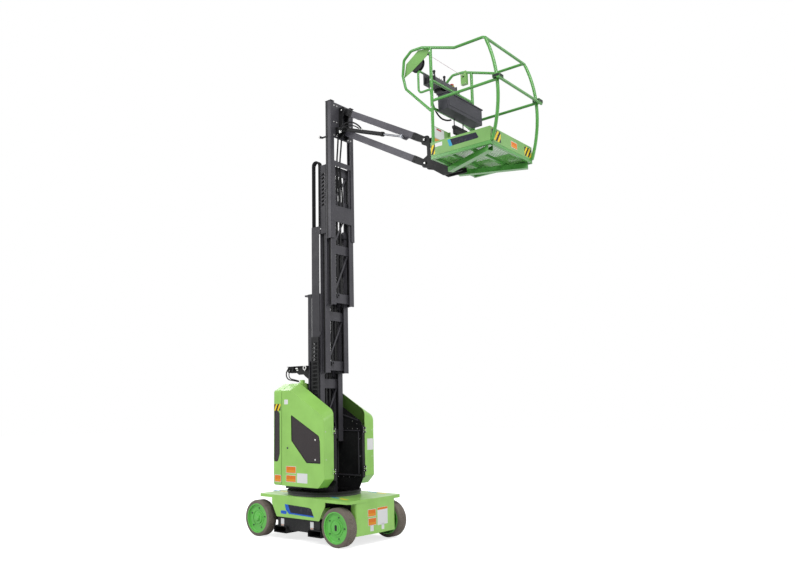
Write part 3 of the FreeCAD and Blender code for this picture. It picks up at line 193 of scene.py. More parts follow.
def ramp(tree, value, stops):
    r = tree.nodes.new("ShaderNodeValToRGB")
    els = r.color_ramp.elements
    while len(els) > len(stops):
        els.remove(els[-1])
    while len(els) < len(stops):
        els.new(1.0)
    for el, (pos, grey) in zip(els, stops):
        el.position = pos
        el.color = (grey, grey, grey, 1)
    tree.links.new(value, r.inputs[0])
    return r.outputs[0]


def mixed(tree, fac, a, b):
    n = node(tree, "Mix")
    n.data_type = "RGBA"
    for socket, value in ((n.inputs[0], fac), (n.inputs[6], a), (n.inputs[7], b)):
        fill(tree, socket, (*value, 1) if isinstance(value, tuple) else value)
    return n.outputs[2]


def soft_normal(tree, radius):
    """The surface's normal, rounded over the piece's own edges."""
    bevel = node(tree, "Bevel", Radius=radius)
    bevel.samples = 4
    return bevel.outputs[0]


def bump(tree, height, strength, distance, bsdf, soft=0.0):
    b = node(tree, "Bump", Strength=strength, Distance=distance, Height=height)
    if soft:
        fill(tree, b.inputs["Normal"], soft_normal(tree, soft))
    fill(tree, bsdf.inputs["Normal"], b.outputs[0])


def edge_mask(tree, radius, low, high):
    """1 along the piece's own edges, from the bent normal of a bevel."""
    dot = node(tree, "VectorMath")
    dot.operation = "DOT_PRODUCT"
    fill(tree, dot.inputs[0], soft_normal(tree, radius))
    fill(tree, dot.inputs[1], node(tree, "NewGeometry").outputs["Normal"])
    return ramp(tree, dot.outputs["Value"], [(low, 1.0), (high, 0.0)])


# Finishes

def paint(name, color, rough=0.32, coat=0.10, specular=0.32, dust=0.06, edge_wear_and_highlight_colour=(0.30, 0.30, 0.30), edge_wear_and_highlight_level=0.52):
    """Sprayed paint: faint orange peel, cloudy tone, dust in the low tones, and lighter edges: rubbed wear
    on the dark paints, a painted highlight on the green ones.
    """
    m, tree, b = shader(name, color, rough, 0.0, coat, specular)
    where = coords(tree)
    cloud = ramp(tree, noise(tree, where, 3.1, 4), [(0.30, 0.0), (0.72, 1.0)])
    base = mixed(tree, cloud, scaled(color, 0.90), scaled(color, 1.10, 0.012))
    speck = ramp(tree, noise(tree, where, 55.0, 5, 0.7), [(0.52, 0.0), (0.80, 1.0)])
    base = mixed(tree, math_node(tree, "MULTIPLY", speck, dust), base, (0.50, 0.48, 0.44))
    patch = ramp(tree, noise(tree, where, 24.0, 6, 0.75), [(edge_wear_and_highlight_level, 0.0), (edge_wear_and_highlight_level + 0.14, 1.0)])
    # Lighter colour along the edges: worn paint on the dark paints; on the green paints a pale painted
    # highlight where the edges catch the light.
    edge_wear_and_highlight = math_node(tree, "MULTIPLY", edge_mask(tree, 0.0035, 0.78, 0.97), patch)
    base = mixed(tree, math_node(tree, "MULTIPLY", edge_wear_and_highlight, 0.55), base, edge_wear_and_highlight_colour)
    tree.links.new(base, b.inputs["Base Color"])
    r = ramp(tree, noise(tree, where, 9.0, 4), [(0.25, rough - 0.06), (0.80, rough + 0.12)])
    tree.links.new(r, b.inputs["Roughness"])
    bump(tree, noise(tree, where, 420.0, 2), 0.10, 0.0006, b, 0.002)
    return m


def rubber(name, color, dust=(0.30, 0.27, 0.24)):
    """Moulded rubber with a cloudy tone, grey dust and a fine grain."""
    m, tree, b = shader(name, color, 0.85, specular=0.22)
    where = coords(tree)
    cloud = ramp(tree, noise(tree, where, 7.0, 5), [(0.30, 0.0), (0.75, 1.0)])
    base = mixed(tree, cloud, scaled(color, 0.82), scaled(color, 1.22))
    speck = ramp(tree, noise(tree, where, 160.0, 4, 0.7), [(0.55, 0.0), (0.82, 1.0)])
    base = mixed(tree, math_node(tree, "MULTIPLY", speck, 0.55), base, dust)
    tree.links.new(base, b.inputs["Base Color"])
    bump(tree, noise(tree, where, 240.0, 4), 0.30, 0.0012, b, 0.003)
    return m


def metal(name, color, rough, scale=(1, 1, 60)):
    """Bare or plated metal with fine drawn lines."""
    m, tree, b = shader(name, color, rough, 1.0)
    stretch = node(tree, "Mapping", Scale=scale, Vector=coords(tree))
    lines = noise(tree, stretch.outputs[0], 14.0, 3)
    base = mixed(tree, lines, scaled(color, 0.80), scaled(color, 1.15))
    tree.links.new(base, b.inputs["Base Color"])
    r = ramp(tree, lines, [(0.2, max(0.04, rough - 0.08)), (0.8, rough + 0.10)])
    tree.links.new(r, b.inputs["Roughness"])
    bump(tree, lines, 0.06, 0.0004, b, 0.001)
    return m


def plastic(name, color, rough=0.55):
    """Moulded plastic with a fine grain."""
    m, tree, b = shader(name, color, rough, specular=0.22)
    where = coords(tree)
    cloud = noise(tree, where, 6.0, 4)
    base = mixed(tree, cloud, scaled(color, 0.78), scaled(color, 1.25, 0.004))
    tree.links.new(base, b.inputs["Base Color"])
    bump(tree, noise(tree, where, 700.0, 2), 0.22, 0.0006, b, 0.0015)
    return m


def film(name, color):
    """Printed label film: slightly uneven colour, faint scuffs and a satin face."""
    m, tree, b = shader(name, color, 0.42, 0.0, 0.05, 0.2)
    where = coords(tree)
    scuff = ramp(tree, noise(tree, where, 38.0, 5, 0.7), [(0.55, 0.0), (0.85, 0.22)])
    fade = mixed(tree, noise(tree, where, 5.0, 2), scaled(color, 0.93), color)
    tree.links.new(mixed(tree, scuff, fade, (0.42, 0.42, 0.40)), b.inputs["Base Color"])
    bump(tree, noise(tree, where, 90.0, 2), 0.08, 0.0004, b)
    return m


def perforated(name, color, pitch=0.0075):
    """Dark sheet with rows of small holes, drawn on the piece's own XZ plane."""
    m, tree, b = shader(name, color, 0.55, specular=0.15)
    where = coords(tree)
    split = node(tree, "SeparateXYZ", Vector=where).outputs
    flat = node(tree, "CombineXYZ", X=split["X"], Y=split["Z"])
    cells = node(tree, "TexVoronoi", Scale=1.0 / pitch, Randomness=0.0, Vector=flat.outputs[0])
    cells.voronoi_dimensions = "2D"
    hole = ramp(tree, cells.outputs["Distance"], [(0.26, 1.0), (0.34, 0.0)])
    cloud = mixed(tree, noise(tree, where, 4.0, 3), scaled(color, 0.85), scaled(color, 1.2))
    tree.links.new(mixed(tree, hole, cloud, scaled(color, 0.25)), b.inputs["Base Color"])
    bump(tree, math_node(tree, "SUBTRACT", 1.0, hole), 0.35, 0.0012, b)
    return m


GREEN = (0.280, 0.560, 0.112)
# Toe-board green: partly its own lighter tone, partly darkened as painted shade to dim the boards' lit front
# faces.
SHADED_TOE_GREEN = (0.165, 0.370, 0.090)
# The basket's rail green: partly its own deeper green, partly darkened as painted shade for the backlit
# basket.
SHADED_RAIL_GREEN = (0.070, 0.300, 0.045)
WHEEL_GREEN = (0.115, 0.480, 0.070)
MAST = (0.047, 0.045, 0.054)
ARM = (0.080, 0.076, 0.092)
BLACK = (0.008, 0.008, 0.009)

FILMS = {
    "white_film": (0.76, 0.76, 0.77), "orange_film": (0.74, 0.19, 0.012), "amber_film": (0.76, 0.29, 0.018),
    "red_film": (0.42, 0.02, 0.02), "yellow_film": (0.86, 0.62, 0.02), "black_film": (0.008, 0.008, 0.012),
    "navy_film": (0.004, 0.006, 0.018), "blue_film": (0.012, 0.11, 0.56), "sky_film": (0.03, 0.33, 0.56),
}

mats = {}


def make_materials():
    # Pale green for the green paints' edges: a painted highlight, not a wear colour.
    pale_edge_highlight = (0.52, 0.76, 0.40)
    mats["green"] = paint("green_paint", GREEN, edge_wear_and_highlight_colour=pale_edge_highlight, edge_wear_and_highlight_level=0.56)
    mats["toe"] = paint("toe_board_shaded_paint", SHADED_TOE_GREEN, edge_wear_and_highlight_colour=pale_edge_highlight, edge_wear_and_highlight_level=0.46)
    mats["rail"] = paint("rail_green_shaded_paint", SHADED_RAIL_GREEN, 0.24, 0.20, 0.35)
    mats["wheel"] = paint("wheel_green_paint", WHEEL_GREEN, 0.34)
    mats["mast"] = paint("mast_paint", MAST, 0.40, 0.0, 0.22, 0.08, (0.10, 0.10, 0.11), 0.40)
    mats["trough"] = paint("trough_paint", (0.030, 0.029, 0.034), 0.45, 0.0, 0.18, 0.06,
                           (0.08, 0.08, 0.09), 0.45)
    mats["arm"] = paint("arm_paint", ARM, 0.40, 0.0, 0.22, 0.06, (0.20, 0.20, 0.22), 0.40)
    mats["black"] = paint("black_paint", BLACK, 0.42, 0.0, 0.15, 0.05, (0.09, 0.09, 0.09))
    mats["tyre"] = rubber("tyre_rubber", (0.165, 0.139, 0.118))
    mats["groove"] = rubber("tyre_groove_dust", (0.27, 0.24, 0.21))
    mats["hose"] = rubber("hose_rubber", (0.012, 0.012, 0.013), (0.08, 0.08, 0.08))
    mats["chrome"] = metal("chrome_rod", (0.17, 0.175, 0.19), 0.30)
    mats["steel"] = metal("zinc_steel", (0.56, 0.56, 0.55), 0.34, (1, 1, 8))
    mats["dark_steel"] = metal("oiled_steel", (0.060, 0.060, 0.066), 0.42, (1, 1, 8))
    mats["plastic"] = plastic("black_plastic", (0.014, 0.014, 0.016))
    mats["grey_plastic"] = plastic("grey_plastic", (0.050, 0.049, 0.060))
    mats["console"] = plastic("console_plastic", (0.085, 0.085, 0.092))
    mats["red"] = plastic("red_plastic", (0.62, 0.020, 0.015), 0.35)
    mats["wire"] = plastic("wire_sheath", (0.62, 0.44, 0.50), 0.45)
    mats["window"] = perforated("perforated_sheet", (0.052, 0.044, 0.046))
    for name, color in FILMS.items():
        mats[name] = film(name, color)


SLOT_LOOK = {
    "mast_grey": "mast", "dark_grey": "mast", "green": "green", "rail_green": "rail",
    "black": "black", "tyre": "tyre", "steel": "steel", "chrome": "chrome",
    "black_plastic": "grey_plastic", "floor": "rail",
}
NODE_LOOK = {
    "jib_upper_arm": "arm", "jib_lower_arm": "arm", "hose_loop": "hose", "entry_bar": "rail",
    "door_mesh_left": "window", "door_mesh_right": "window", "cover_mesh": "window",
    "lift_chain_1": "black", "lift_chain_2": "black", "lift_chain_3": "black", "lift_chain_4": "black",
    "hose_trough_2": "trough", "hose_trough_3": "trough", "side_frames": "black", "console": "console",
    "hose_guides": "black", "lift_rams": "dark_steel", "hinge_leaves": "black",
    "hinges_moving_left": "green", "hinges_moving_right": "green",
    "toe_boards": "toe", "switch_plates": "toe",
}


def dress_nodes():
    slots = {s["node"]: s["material_slot"] for s in frame["record"]["subparts"]}
    for name, obj in nodes.items():
        look = NODE_LOOK.get(name, SLOT_LOOK[slots[name]])
        if name.startswith("rim_"):
            look = "wheel"
        for material_slot in obj.material_slots:
            material_slot.material = mats[look]


# Mesh building blocks

def piece(name, bm, body, looks, turn=30):
    """A mesh object from the bmesh, with its looks in order, that rides on the body."""
    bmesh.ops.recalc_face_normals(bm, faces=bm.faces)
    mesh = bpy.data.meshes.new(name)
    bm.to_mesh(mesh)
    bm.free()
    for look in looks:
        mesh.materials.append(mats[look])
    mesh.polygons.foreach_set("use_smooth", [True] * len(mesh.polygons))
    mesh.set_sharp_from_angle(angle=math.radians(turn))
    obj = bpy.data.objects.new(name, mesh)
    scene.collection.objects.link(obj)
    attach(obj, body)
    return obj


def ring_faces(bm, rings, index, closed):
    """Quads between successive rings of vertices."""
    count = len(rings[0])
    for low, high in zip(rings, rings[1:]):
        for i in range(count if closed else count - 1):
            j = (i + 1) % count
            bm.faces.new((low[i], low[j], high[j], high[i])).material_index = index


def slab(bm, outline, place, low, high, index=0):
    """A closed plate: the outline of (u, v) points between two heights over a surface."""
    rings = [[bm.verts.new(place(u, v, h)) for u, v in outline] for h in (low, high)]
    ring_faces(bm, rings, index, True)
    for ring in rings:
        bm.faces.new(ring).material_index = index


CORE = 0.0001       # radius at which a turned profile ends on its axis


def turned(bm, profile, at, axis, steps):
    """Rings of vertices for each (along, radius) of a profile about an axis."""
    axis = Vector(axis).normalized()
    side = axis.orthogonal().normalized()
    other = axis.cross(side)
    rings = []
    for along, radius in profile:
        ring = []
        for i in range(steps):
            a = 2 * math.pi * i / steps
            out = side * math.cos(a) + other * math.sin(a)
            ring.append(bm.verts.new(Vector(at) + axis * along + out * radius))
        rings.append(ring)
    return rings


def lathe(bm, profile, at, axis, steps=20, index=0):
    """A solid from an open profile of (along, radius) turned about an axis; its ends are closed flat."""
    if profile[0][1] > CORE:
        profile = [(profile[0][0], CORE), *profile]
    if profile[-1][1] > CORE:
        profile = [*profile, (profile[-1][0], CORE)]
    rings = turned(bm, profile, at, axis, steps)
    ring_faces(bm, rings, index, True)
    bm.faces.new(rings[0]).material_index = index
    bm.faces.new(rings[-1]).material_index = index


def hollow(bm, outer, inner, low, high, at, axis, steps=32, index=0):
    """A plain ring between two radii."""
    rings = turned(bm, ((low, inner), (low, outer), (high, outer), (high, inner)), at, axis, steps)
    ring_faces(bm, [*rings, rings[0]], index, True)


def block(bm, low, high, index=0, soft=0.002):
    """A box with chamfered edges, between any two opposite corners."""
    low, high = [Vector([pick(pair) for pair in zip(low, high)]) for pick in (min, max)]
    c = min(soft, *[(high[k] - low[k]) / 3 for k in range(3)])
    outline = [(low.x + c, low.y), (high.x - c, low.y), (high.x, low.y + c), (high.x, high.y - c),
               (high.x - c, high.y), (low.x + c, high.y), (low.x, high.y - c), (low.x, low.y + c)]
    middle = (low + high) / 2
    rings = []
    for z, inset in ((low.z, c), (low.z + c, 0), (high.z - c, 0), (high.z, c)):
        fit = Vector((1 - 2 * inset / (high.x - low.x), 1 - 2 * inset / (high.y - low.y)))
        rings.append([bm.verts.new((middle.x + (x - middle.x) * fit.x, middle.y + (y - middle.y) * fit.y, z))
                      for x, y in outline])
    ring_faces(bm, rings, index, True)
    bm.faces.new(rings[0]).material_index = index
    bm.faces.new(rings[-1]).material_index = index


def facing(point, across, up):
    """Places (u, v, height) on the plane through a point, whose normal is across x up."""
    point, across, up = Vector(point), Vector(across).normalized(), Vector(up).normalized()
    out = across.cross(up)
    return lambda u, v, h: point + across * u + up * v + out * h


def rect(u0, v0, u1, v1, radius=0.004):
    """A rectangle's outline with rounded corners."""
    points = []
    for cu, cv, start in ((u1 - radius, v0 + radius, -90), (u1 - radius, v1 - radius, 0),
                          (u0 + radius, v1 - radius, 90), (u0 + radius, v0 + radius, 180)):
        for turn in (0, 45, 90):
            a = math.radians(start + turn)
            points.append((cu + radius * math.cos(a), cv + radius * math.sin(a)))
    return points


# Labels, plates and stripes, all without text

FILM, FILM_SINK = 0.0006, 0.0003


def decal(name, body, place, layers):
    """Thin film on a surface: closed outlines of one look each, the later ones on top."""
    bm = bmesh.new()
    looks = []
    for step, (outline, look) in enumerate(layers):
        if look not in looks:
            looks.append(look)
        slab(bm, outline, place, -FILM_SINK, FILM * (1 + 0.5 * step), looks.index(look))
    return piece(name, bm, body, looks, 20)


def label(name, body, place, width, height, look, header=None):
    """A blank label: white border, coloured field, amber lower part, and a header band where one shows."""
    edge = 0.004
    layers = [(rect(0, 0, width, height), "white_film")]
    if look != "white_film":
        layers.append((rect(edge, edge, width - edge, height - edge, 0.002), look))
        layers.append((rect(2.5 * edge, 2.5 * edge, width - 2.5 * edge, height * 0.42, 0.001), "amber_film"))
    if header:
        layers.append((rect(edge / 2, height * 0.86, width - edge / 2, height - edge / 2, 0.002), header))
    return decal(name, body, place, layers)


def clipped(poly, limit, side):
    """The part of a convex polygon where side * (u - limit) is not above zero."""
    kept = []
    for i, a in enumerate(poly):
        b = poly[(i + 1) % len(poly)]
        inside_a = side * (a[0] - limit) <= 0
        inside_b = side * (b[0] - limit) <= 0
        if inside_a:
            kept.append(a)
        if inside_a != inside_b:
            t = (limit - a[0]) / (b[0] - a[0])
            kept.append((limit, a[1] + t * (b[1] - a[1])))
    return kept


def hazard(name, body, place, width, height, pitch, lean, cuts=()):
    """Yellow film with leaning black stripes; cuts are the lines where the surface bends."""
    bm = bmesh.new()
    edges = [0.0, *cuts, width]
    for left, right in zip(edges, edges[1:]):
        slab(bm, [(left, 0), (right, 0), (right, height), (left, height)], place, -FILM_SINK, FILM)
        first = -int(abs(lean) / pitch) - 2
        for i in range(first, int(width / pitch) + 3):
            u = i * pitch
            stripe = [(u, 0), (u + pitch / 2, 0), (u + pitch / 2 + lean, height), (u + lean, height)]
            stripe = clipped(clipped(stripe, left, -1), right, 1)
            if len(stripe) > 2 and max(p[0] for p in stripe) - min(p[0] for p in stripe) > 1e-4:
                slab(bm, stripe, place, 0, FILM * 1.5, 1)
    return piece(name, bm, body, ["yellow_film", "black_film"], 20)


# Chassis labels

SKIRT_Y = -0.460
SIDE_PLATE_Y = -0.442
DECK_Z = 0.480
BUMPER_FRONT, BUMPER_HALF, NOSE_POINT = 0.770, 0.335, 0.015


def on_bumper(y, z):
    """The bumper's front is a shallow V, so a label there leans with its own half."""
    slope = NOSE_POINT / BUMPER_HALF
    x = BUMPER_FRONT + NOSE_POINT - slope * abs(y)
    across = (-slope, 1, 0) if y >= 0 else (slope, 1, 0)
    return facing((x, y, z), across, Z)


def chassis_labels():
    skirt = facing((-0.184, SKIRT_Y, 0.282), X, Z)
    decal("skirt_nameplate", "chassis", skirt, [
        ([(0.066, 0.004), (0.457, -0.004), (0.412, 0.083), (0.380, 0.093), (0.0, 0.106), (0.018, 0.045)],
         "navy_film"),
        ([(0.066, 0.004), (0.457, -0.004), (0.450, 0.010), (0.068, 0.019)], "blue_film"),
        ([(0.066, 0.004), (0.100, 0.003), (0.052, 0.104), (0.0, 0.106), (0.018, 0.045)], "blue_film"),
    ])
    decal("skirt_tag", "chassis", skirt, [(rect(-0.064, -0.002, 0.028, 0.034, 0.012), "blue_film")])
    for side, x in (("rear", -0.264), ("front", 0.197)):
        label("pocket_label_" + side, "chassis", facing((x, SIDE_PLATE_Y, 0.164), X, Z), 0.052, 0.062,
              "white_film")
        label("pocket_tag_" + side, "chassis", facing((x + 0.002, SIDE_PLATE_Y, 0.147), X, Z), 0.046, 0.015,
              "orange_film")
    front = [("left_top", -0.152, 0.292, 0.132, 0.078, "orange_film", None),
             ("left_low", -0.148, 0.200, 0.132, 0.078, "orange_film", None),
             ("middle", 0.004, 0.192, 0.188, 0.184, "white_film", "orange_film"),
             ("tag_left", -0.114, 0.140, 0.052, 0.062, "white_film", None),
             ("tag_right", 0.076, 0.140, 0.050, 0.062, "white_film", None)]
    for name, y, z, width, height, look, header in front:
        label("bumper_label_" + name, "chassis", on_bumper(y, z), width, height, look, header)


def deck_stripes():
    """Three pairs of short blue and yellow bars on the deck, round the turret."""
    pairs = [("near", (0.335, -0.262), (0.96, -0.28)), ("rear", (-0.745, -0.150), (0.97, -0.10)),
             ("far", (0.300, 0.415), (0.96, -0.22))]
    for name, start, along in pairs:
        along = Vector((*along, 0)).normalized()
        across = Z.cross(along)
        place = facing((*start, DECK_Z), along, across)
        decal("deck_stripe_" + name, "chassis", place, [
            (rect(0, 0, 0.155, 0.038), "sky_film"), (rect(0.172, 0, 0.322, 0.038), "yellow_film")])


# Wheels

WHEEL_X, WHEEL_Y, WHEEL_Z = 0.612, 0.4315, 0.203
TYRE_HALF, TYRE_R, TYRE_BORE = 0.0635, 0.203, 0.1655
DISC_FACE = WHEEL_Y + TYRE_HALF - 0.024
HUB_FACE = DISC_FACE + 0.010
BOLT_CIRCLE = 0.113
BOLT_COUNT = 5


def tyre(name, x, side):
    """A solid tyre with slanted sipes cut into both halves of its tread."""
    sipes, depth, slant = 30, 0.0035, 0.16
    half = [(TYRE_HALF, TYRE_BORE, 0), (TYRE_HALF, 0.189, 0), (0.0585, 0.199, 0), (0.0485, TYRE_R, 1),
            (0.030, TYRE_R, 1), (0.008, TYRE_R, 1), (0.004, TYRE_R, 0)]
    rows = [(-along, radius, cut) for along, radius, cut in half] + half[::-1]
    pitch = 2 * math.pi / sipes
    cells = [(0.0, 0), (0.030, 0), (0.034, 1), (0.052, 1), (0.056, 0), (0.13, 0)]
    bm = bmesh.new()
    rings = []
    for along, radius, cut in rows:
        ring = []
        for i in range(sipes):
            for offset, low in cells:
                a = i * pitch + offset + slant * abs(along) / TYRE_HALF
                r = radius - (depth if low and cut else 0)
                at = (x + r * math.cos(a), side * WHEEL_Y + along, WHEEL_Z + r * math.sin(a))
                ring.append(bm.verts.new(at))
        rings.append(ring)
    rings.append(rings[0])
    count = len(rings[0])
    for k, (low, high) in enumerate(zip(rings, rings[1:])):
        cut = k + 1 < len(rows) and rows[k][2] and rows[k + 1][2]
        for i in range(count):
            j = (i + 1) % count
            face = bm.faces.new((low[i], low[j], high[j], high[i]))
            face.material_index = 1 if cut and i % len(cells) in (1, 2, 3) else 0
    obj = piece(name + "_tread", bm, "wheel_" + name[5:], ["tyre", "groove"])
    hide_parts(name)


def hub(name, x, side):
    """Hub bolts on washers round a raised ring, and on the front wheels' hub a black plate that is painted
    shade for the dark opening of its slot.
    """
    out = Vector((0, side, 0))
    bm = bmesh.new()
    phase = math.radians(11 if x < 0 else 0)
    for i in range(BOLT_COUNT):
        a = phase + 2 * math.pi * i / BOLT_COUNT
        at = Vector((x + BOLT_CIRCLE * math.cos(a), side * DISC_FACE, WHEEL_Z + BOLT_CIRCLE * math.sin(a)))
        lathe(bm, [(-0.001, 0.013), (0.0022, 0.013), (0.0028, CORE)], at, out, 20)
        lathe(bm, [(0.002, 0.0082), (0.0075, 0.0082), (0.0088, 0.0068)],
              at, out, 6, 1)
    hollow(bm, 0.092, 0.084, -0.001, 0.005, (x, side * DISC_FACE, WHEEL_Z), out, 40)
    if x > 0:
        centre = (x, side * HUB_FACE, WHEEL_Z)
        lathe(bm, [(-0.001, 0.040), (0.003, 0.040), (0.004, 0.038)],
              centre, out, 32, 0)
        # The slot: a black plate proud of the hub, painted shade in place of the opening's dark depth.
        place = facing(centre, (-side, 0, 0), Z)
        slab(bm, rect(-0.016, -0.030, 0.016, 0.030, 0.008), place, 0.002, 0.0048, 2)
    piece("hub_bolts_" + name, bm, "wheel_" + name, ["wheel", "dark_steel", "plastic"])


def wheels():
    for end, x in (("front", WHEEL_X), ("rear", -WHEEL_X)):
        for side_name, side in (("left", 1), ("right", -1)):
            tyre("tyre_" + end + "_" + side_name, x, side)
            hub(end + "_" + side_name, x, side)


# Screws and bolts

def hex_bolt(bm, at, out, radius, height, index=0):
    lathe(bm, [(-0.001, radius * 1.35), (height * 0.2, radius * 1.35), (height * 0.25, CORE)],
          at, out, 16, index)
    lathe(bm, [(height * 0.2, radius), (height * 0.85, radius), (height, radius * 0.82)], at, out, 6, index)


def dome(bm, at, out, radius, height, index=0):
    lathe(bm, [(-0.001, radius), (height * 0.45, radius * 0.88), (height * 0.85, radius * 0.5),
               (height, CORE)], at, out, 14, index)


def fixings(name, body, look, spots, out, radius, height):
    """A row of like domed screws or rivets on one face."""
    bm = bmesh.new()
    for spot in spots:
        dome(bm, spot, out, radius, height)
    piece(name, bm, body, [look])


# Turret bodywork

COWL_Y = 0.430
COWL_FRONT = 0.400
COVER_ROUND = 0.035
FILM_START, FILM_FLAT = -0.290, 0.095


def round_corner(u, v, h):
    """Film that starts on the cover's near side and turns round its rear corner; u runs rearward."""
    if u <= FILM_FLAT:
        return Vector((FILM_START - u, -COWL_Y - h, v))
    a = min((u - FILM_FLAT) / COVER_ROUND, math.pi / 2)
    r = COVER_ROUND + h
    return Vector((FILM_START - FILM_FLAT - r * math.sin(a), -COWL_Y + COVER_ROUND - r * math.cos(a), v))


def turret_labels():
    near = "side_door_right"
    for name, body, x, z, width, height, look in (
            ("door_label_top", near, -0.227, 1.503, 0.060, 0.054, "white_film"),
            ("door_label_a", near, -0.196, 0.728, 0.160, 0.078, "orange_film"),
            ("door_label_b", near, -0.196, 0.630, 0.160, 0.078, "orange_film"),
            ("door_label_c", near, -0.018, 0.628, 0.162, 0.106, "white_film"),
            ("cover_label", "turret", -0.384, 0.622, 0.108, 0.080, "orange_film")):
        label(name, body, facing((x, -COWL_Y, z), X, Z), width, height, look)
    far = facing((COWL_FRONT, 0.312, 0.968), Y, Z)
    label("far_door_label", "side_door_left", far, 0.108, 0.130, "white_film")
    bends = [FILM_FLAT + COVER_ROUND * math.pi / 2 * i / 4 for i in range(4)]
    hazard("cover_hazard", "turret", lambda u, v, h: round_corner(u, 1.432 + v, h), 0.130, 0.076, 0.056,
           -0.036, bends)


def turret_fixings():
    near, far = "side_door_right", "side_door_left"
    sheet_face = COWL_Y - 0.003
    for body, side in ((near, -1), (far, 1)):
        out = (0, side, 0)
        spots = [(0.264, side * sheet_face, 1.106), (0.263, side * sheet_face, 0.889)]
        fixings("window_screws_" + body, body, "steel", spots, out, 0.010, 0.005)
        fixings("door_lock_" + body, body, "dark_steel", [(-0.172, side * COWL_Y, 1.008)], out, 0.013, 0.006)
        fixings("door_screws_" + body, body, "steel",
                [(COWL_FRONT, side * 0.397, 0.894), (COWL_FRONT, side * 0.402, 1.196)], X, 0.006, 0.003)
        for kind, holder, shift in (("fixed", "turret", -0.020), ("moving", body, 0.018)):
            spots = [(COWL_FRONT + 0.004, side * (0.269 + shift), level + step)
                     for level in (0.760, 1.200) for step in (-0.022, 0.0, 0.022)]
            fixings("hinge_bolts_" + kind + "_" + body, holder, "steel", spots, X, 0.0058, 0.004)


def inner_walls():
    """Ribs, a slanting bar and rivets on the two black walls beside the mast."""
    for name, side in (("left", 1), ("right", -1)):
        face = side * 0.225
        bm = bmesh.new()
        for z0, z1 in ((1.185, 1.197), (0.672, 0.690)):
            block(bm, (-0.05, face, z0), (0.372, face - side * 0.008, z1))
        for x0, x1 in ((0.020, 0.032), (0.340, 0.352)):
            block(bm, (x0, face, 0.700), (x1, face - side * 0.010, 1.180))
        place = facing((0, face, 0), (side, 0, 0), Z)
        rise = [(-0.100, 1.440), (0.335, 1.318), (0.335, 1.306), (-0.100, 1.428)]
        slab(bm, [(side * u, v) for u, v in rise], place, 0, 0.008)
        piece("wall_ribs_" + name, bm, "turret", ["mast"])
        spots = [(0.250, face, 1.300), (0.318, face, 1.270), (0.360, face, 1.10), (0.360, face, 0.90)]
        for i in range(4):
            spots += [(0.10 + 0.075 * i, face, 1.214), (0.02 + 0.085 * i, face, 0.655)]
        fixings("wall_rivets_" + name, "turret", "steel", spots, (0, -side, 0), 0.006, 0.003)


def door_seals():
    """Black rubber trim round each door's window, in the step between sheet and panel."""
    outline = [(-0.118, 1.385), (0.322, 1.150), (0.338, 1.090), (0.345, 0.850), (0.130, 0.850),
               (-0.112, 1.090)]
    centre = Vector((sum(p[0] for p in outline), sum(p[1] for p in outline))) / len(outline)
    for body, side in (("side_door_right", -1), ("side_door_left", 1)):
        bm = bmesh.new()
        rings = []
        for scale, depth in ((0.955, 0.0030), (0.955, 0.0016), (0.985, 0.0016), (0.985, 0.0030)):
            ring = []
            for u, v in outline:
                at = centre + (Vector((u, v)) - centre) * scale
                ring.append(bm.verts.new((at.x, side * (COWL_Y - depth), at.y)))
            rings.append(ring)
        rings.append(rings[0])
        ring_faces(bm, rings, 0, True)
        piece("window_seal_" + body, bm, body, ["hose"])


# Mast

SECTION_PITCH, SECTION_DEPTH = 0.098, 0.090
MAST_FOOT, MAST_STEP, SECTION_LEN = 0.280, 0.790, 1.710
FRONT_1 = 0.033
MAST_HALF = 0.195
MAST_BODIES = {1: "turret", 2: "mast_2", 3: "mast_3", 4: "mast_4", 5: "carriage"}


def section_front(n):
    return FRONT_1 + SECTION_PITCH * (n - 1)


def section_foot(n):
    return MAST_FOOT + MAST_STEP * (n - 1)


def rollers():
    """Dark hollow rollers at the foot of the middle sections, on their tie's near side."""
    for n in (2, 3, 4):
        middle = section_front(n) - SECTION_DEPTH / 2
        at = (middle, -0.066, section_foot(n) + 0.114)
        bm = bmesh.new()
        hollow(bm, 0.0265, 0.016, 0.012, 0.0355, at, X, 32)
        lathe(bm, [(0.012, 0.009), (0.040, 0.009), (0.043, 0.006)], at, X, 6, 1)
        piece("roller_" + str(n), bm, MAST_BODIES[n], ["dark_steel", "plastic"])


def chain_plates():
    """Leaf chain links and pins along each lift chain."""
    for n in (1, 2, 3, 4):
        name = "lift_chain_" + str(n)
        low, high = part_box(name)
        bm = bmesh.new()
        pitch = 0.038
        count = int((high.z - low.z - 0.03) / pitch)
        for y in (-0.030, 0.030):
            for i in range(count):
                z = low.z + 0.020 + i * pitch
                for k in (-1, 0, 1):
                    y0 = y + k * 0.0075 - 0.0026
                    block(bm, (low.x - 0.006, y0, z - 0.006), (high.x - 0.002, y0 + 0.0052, z + 0.030), 0,
                          0.0025)
                lathe(bm, [(-0.0145, 0.0042), (0.0145, 0.0042)],
                      (low.x - 0.001, y, z), Y, 10, 1)
        piece(name + "_links", bm, MAST_BODIES[n], ["black", "dark_steel"])


def trough_hoses():
    """Three hoses side by side behind each of the two long side troughs, held by three clamps."""
    for n in (3, 4):
        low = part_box("hose_trough_" + str(n))[0]
        rear = section_front(n) - SECTION_DEPTH
        top = section_foot(n) + SECTION_LEN
        bm = bmesh.new()
        for i in range(3):
            at = (rear - 0.0295 - i * 0.0155, -0.1905, low.z + 0.015)
            lathe(bm, [(0, 0.0072), (top - 0.015 - at[2], 0.0072)], at, Z, 12)
        for z in (low.z + 0.060, (low.z + top) / 2, top - 0.090):
            block(bm, (rear - 0.074, -0.2002, z), (rear - 0.0215, -0.1815, z + 0.022), 1, 0.002)
        piece("trough_hoses_" + str(n), bm, MAST_BODIES[n], ["hose", "plastic"])


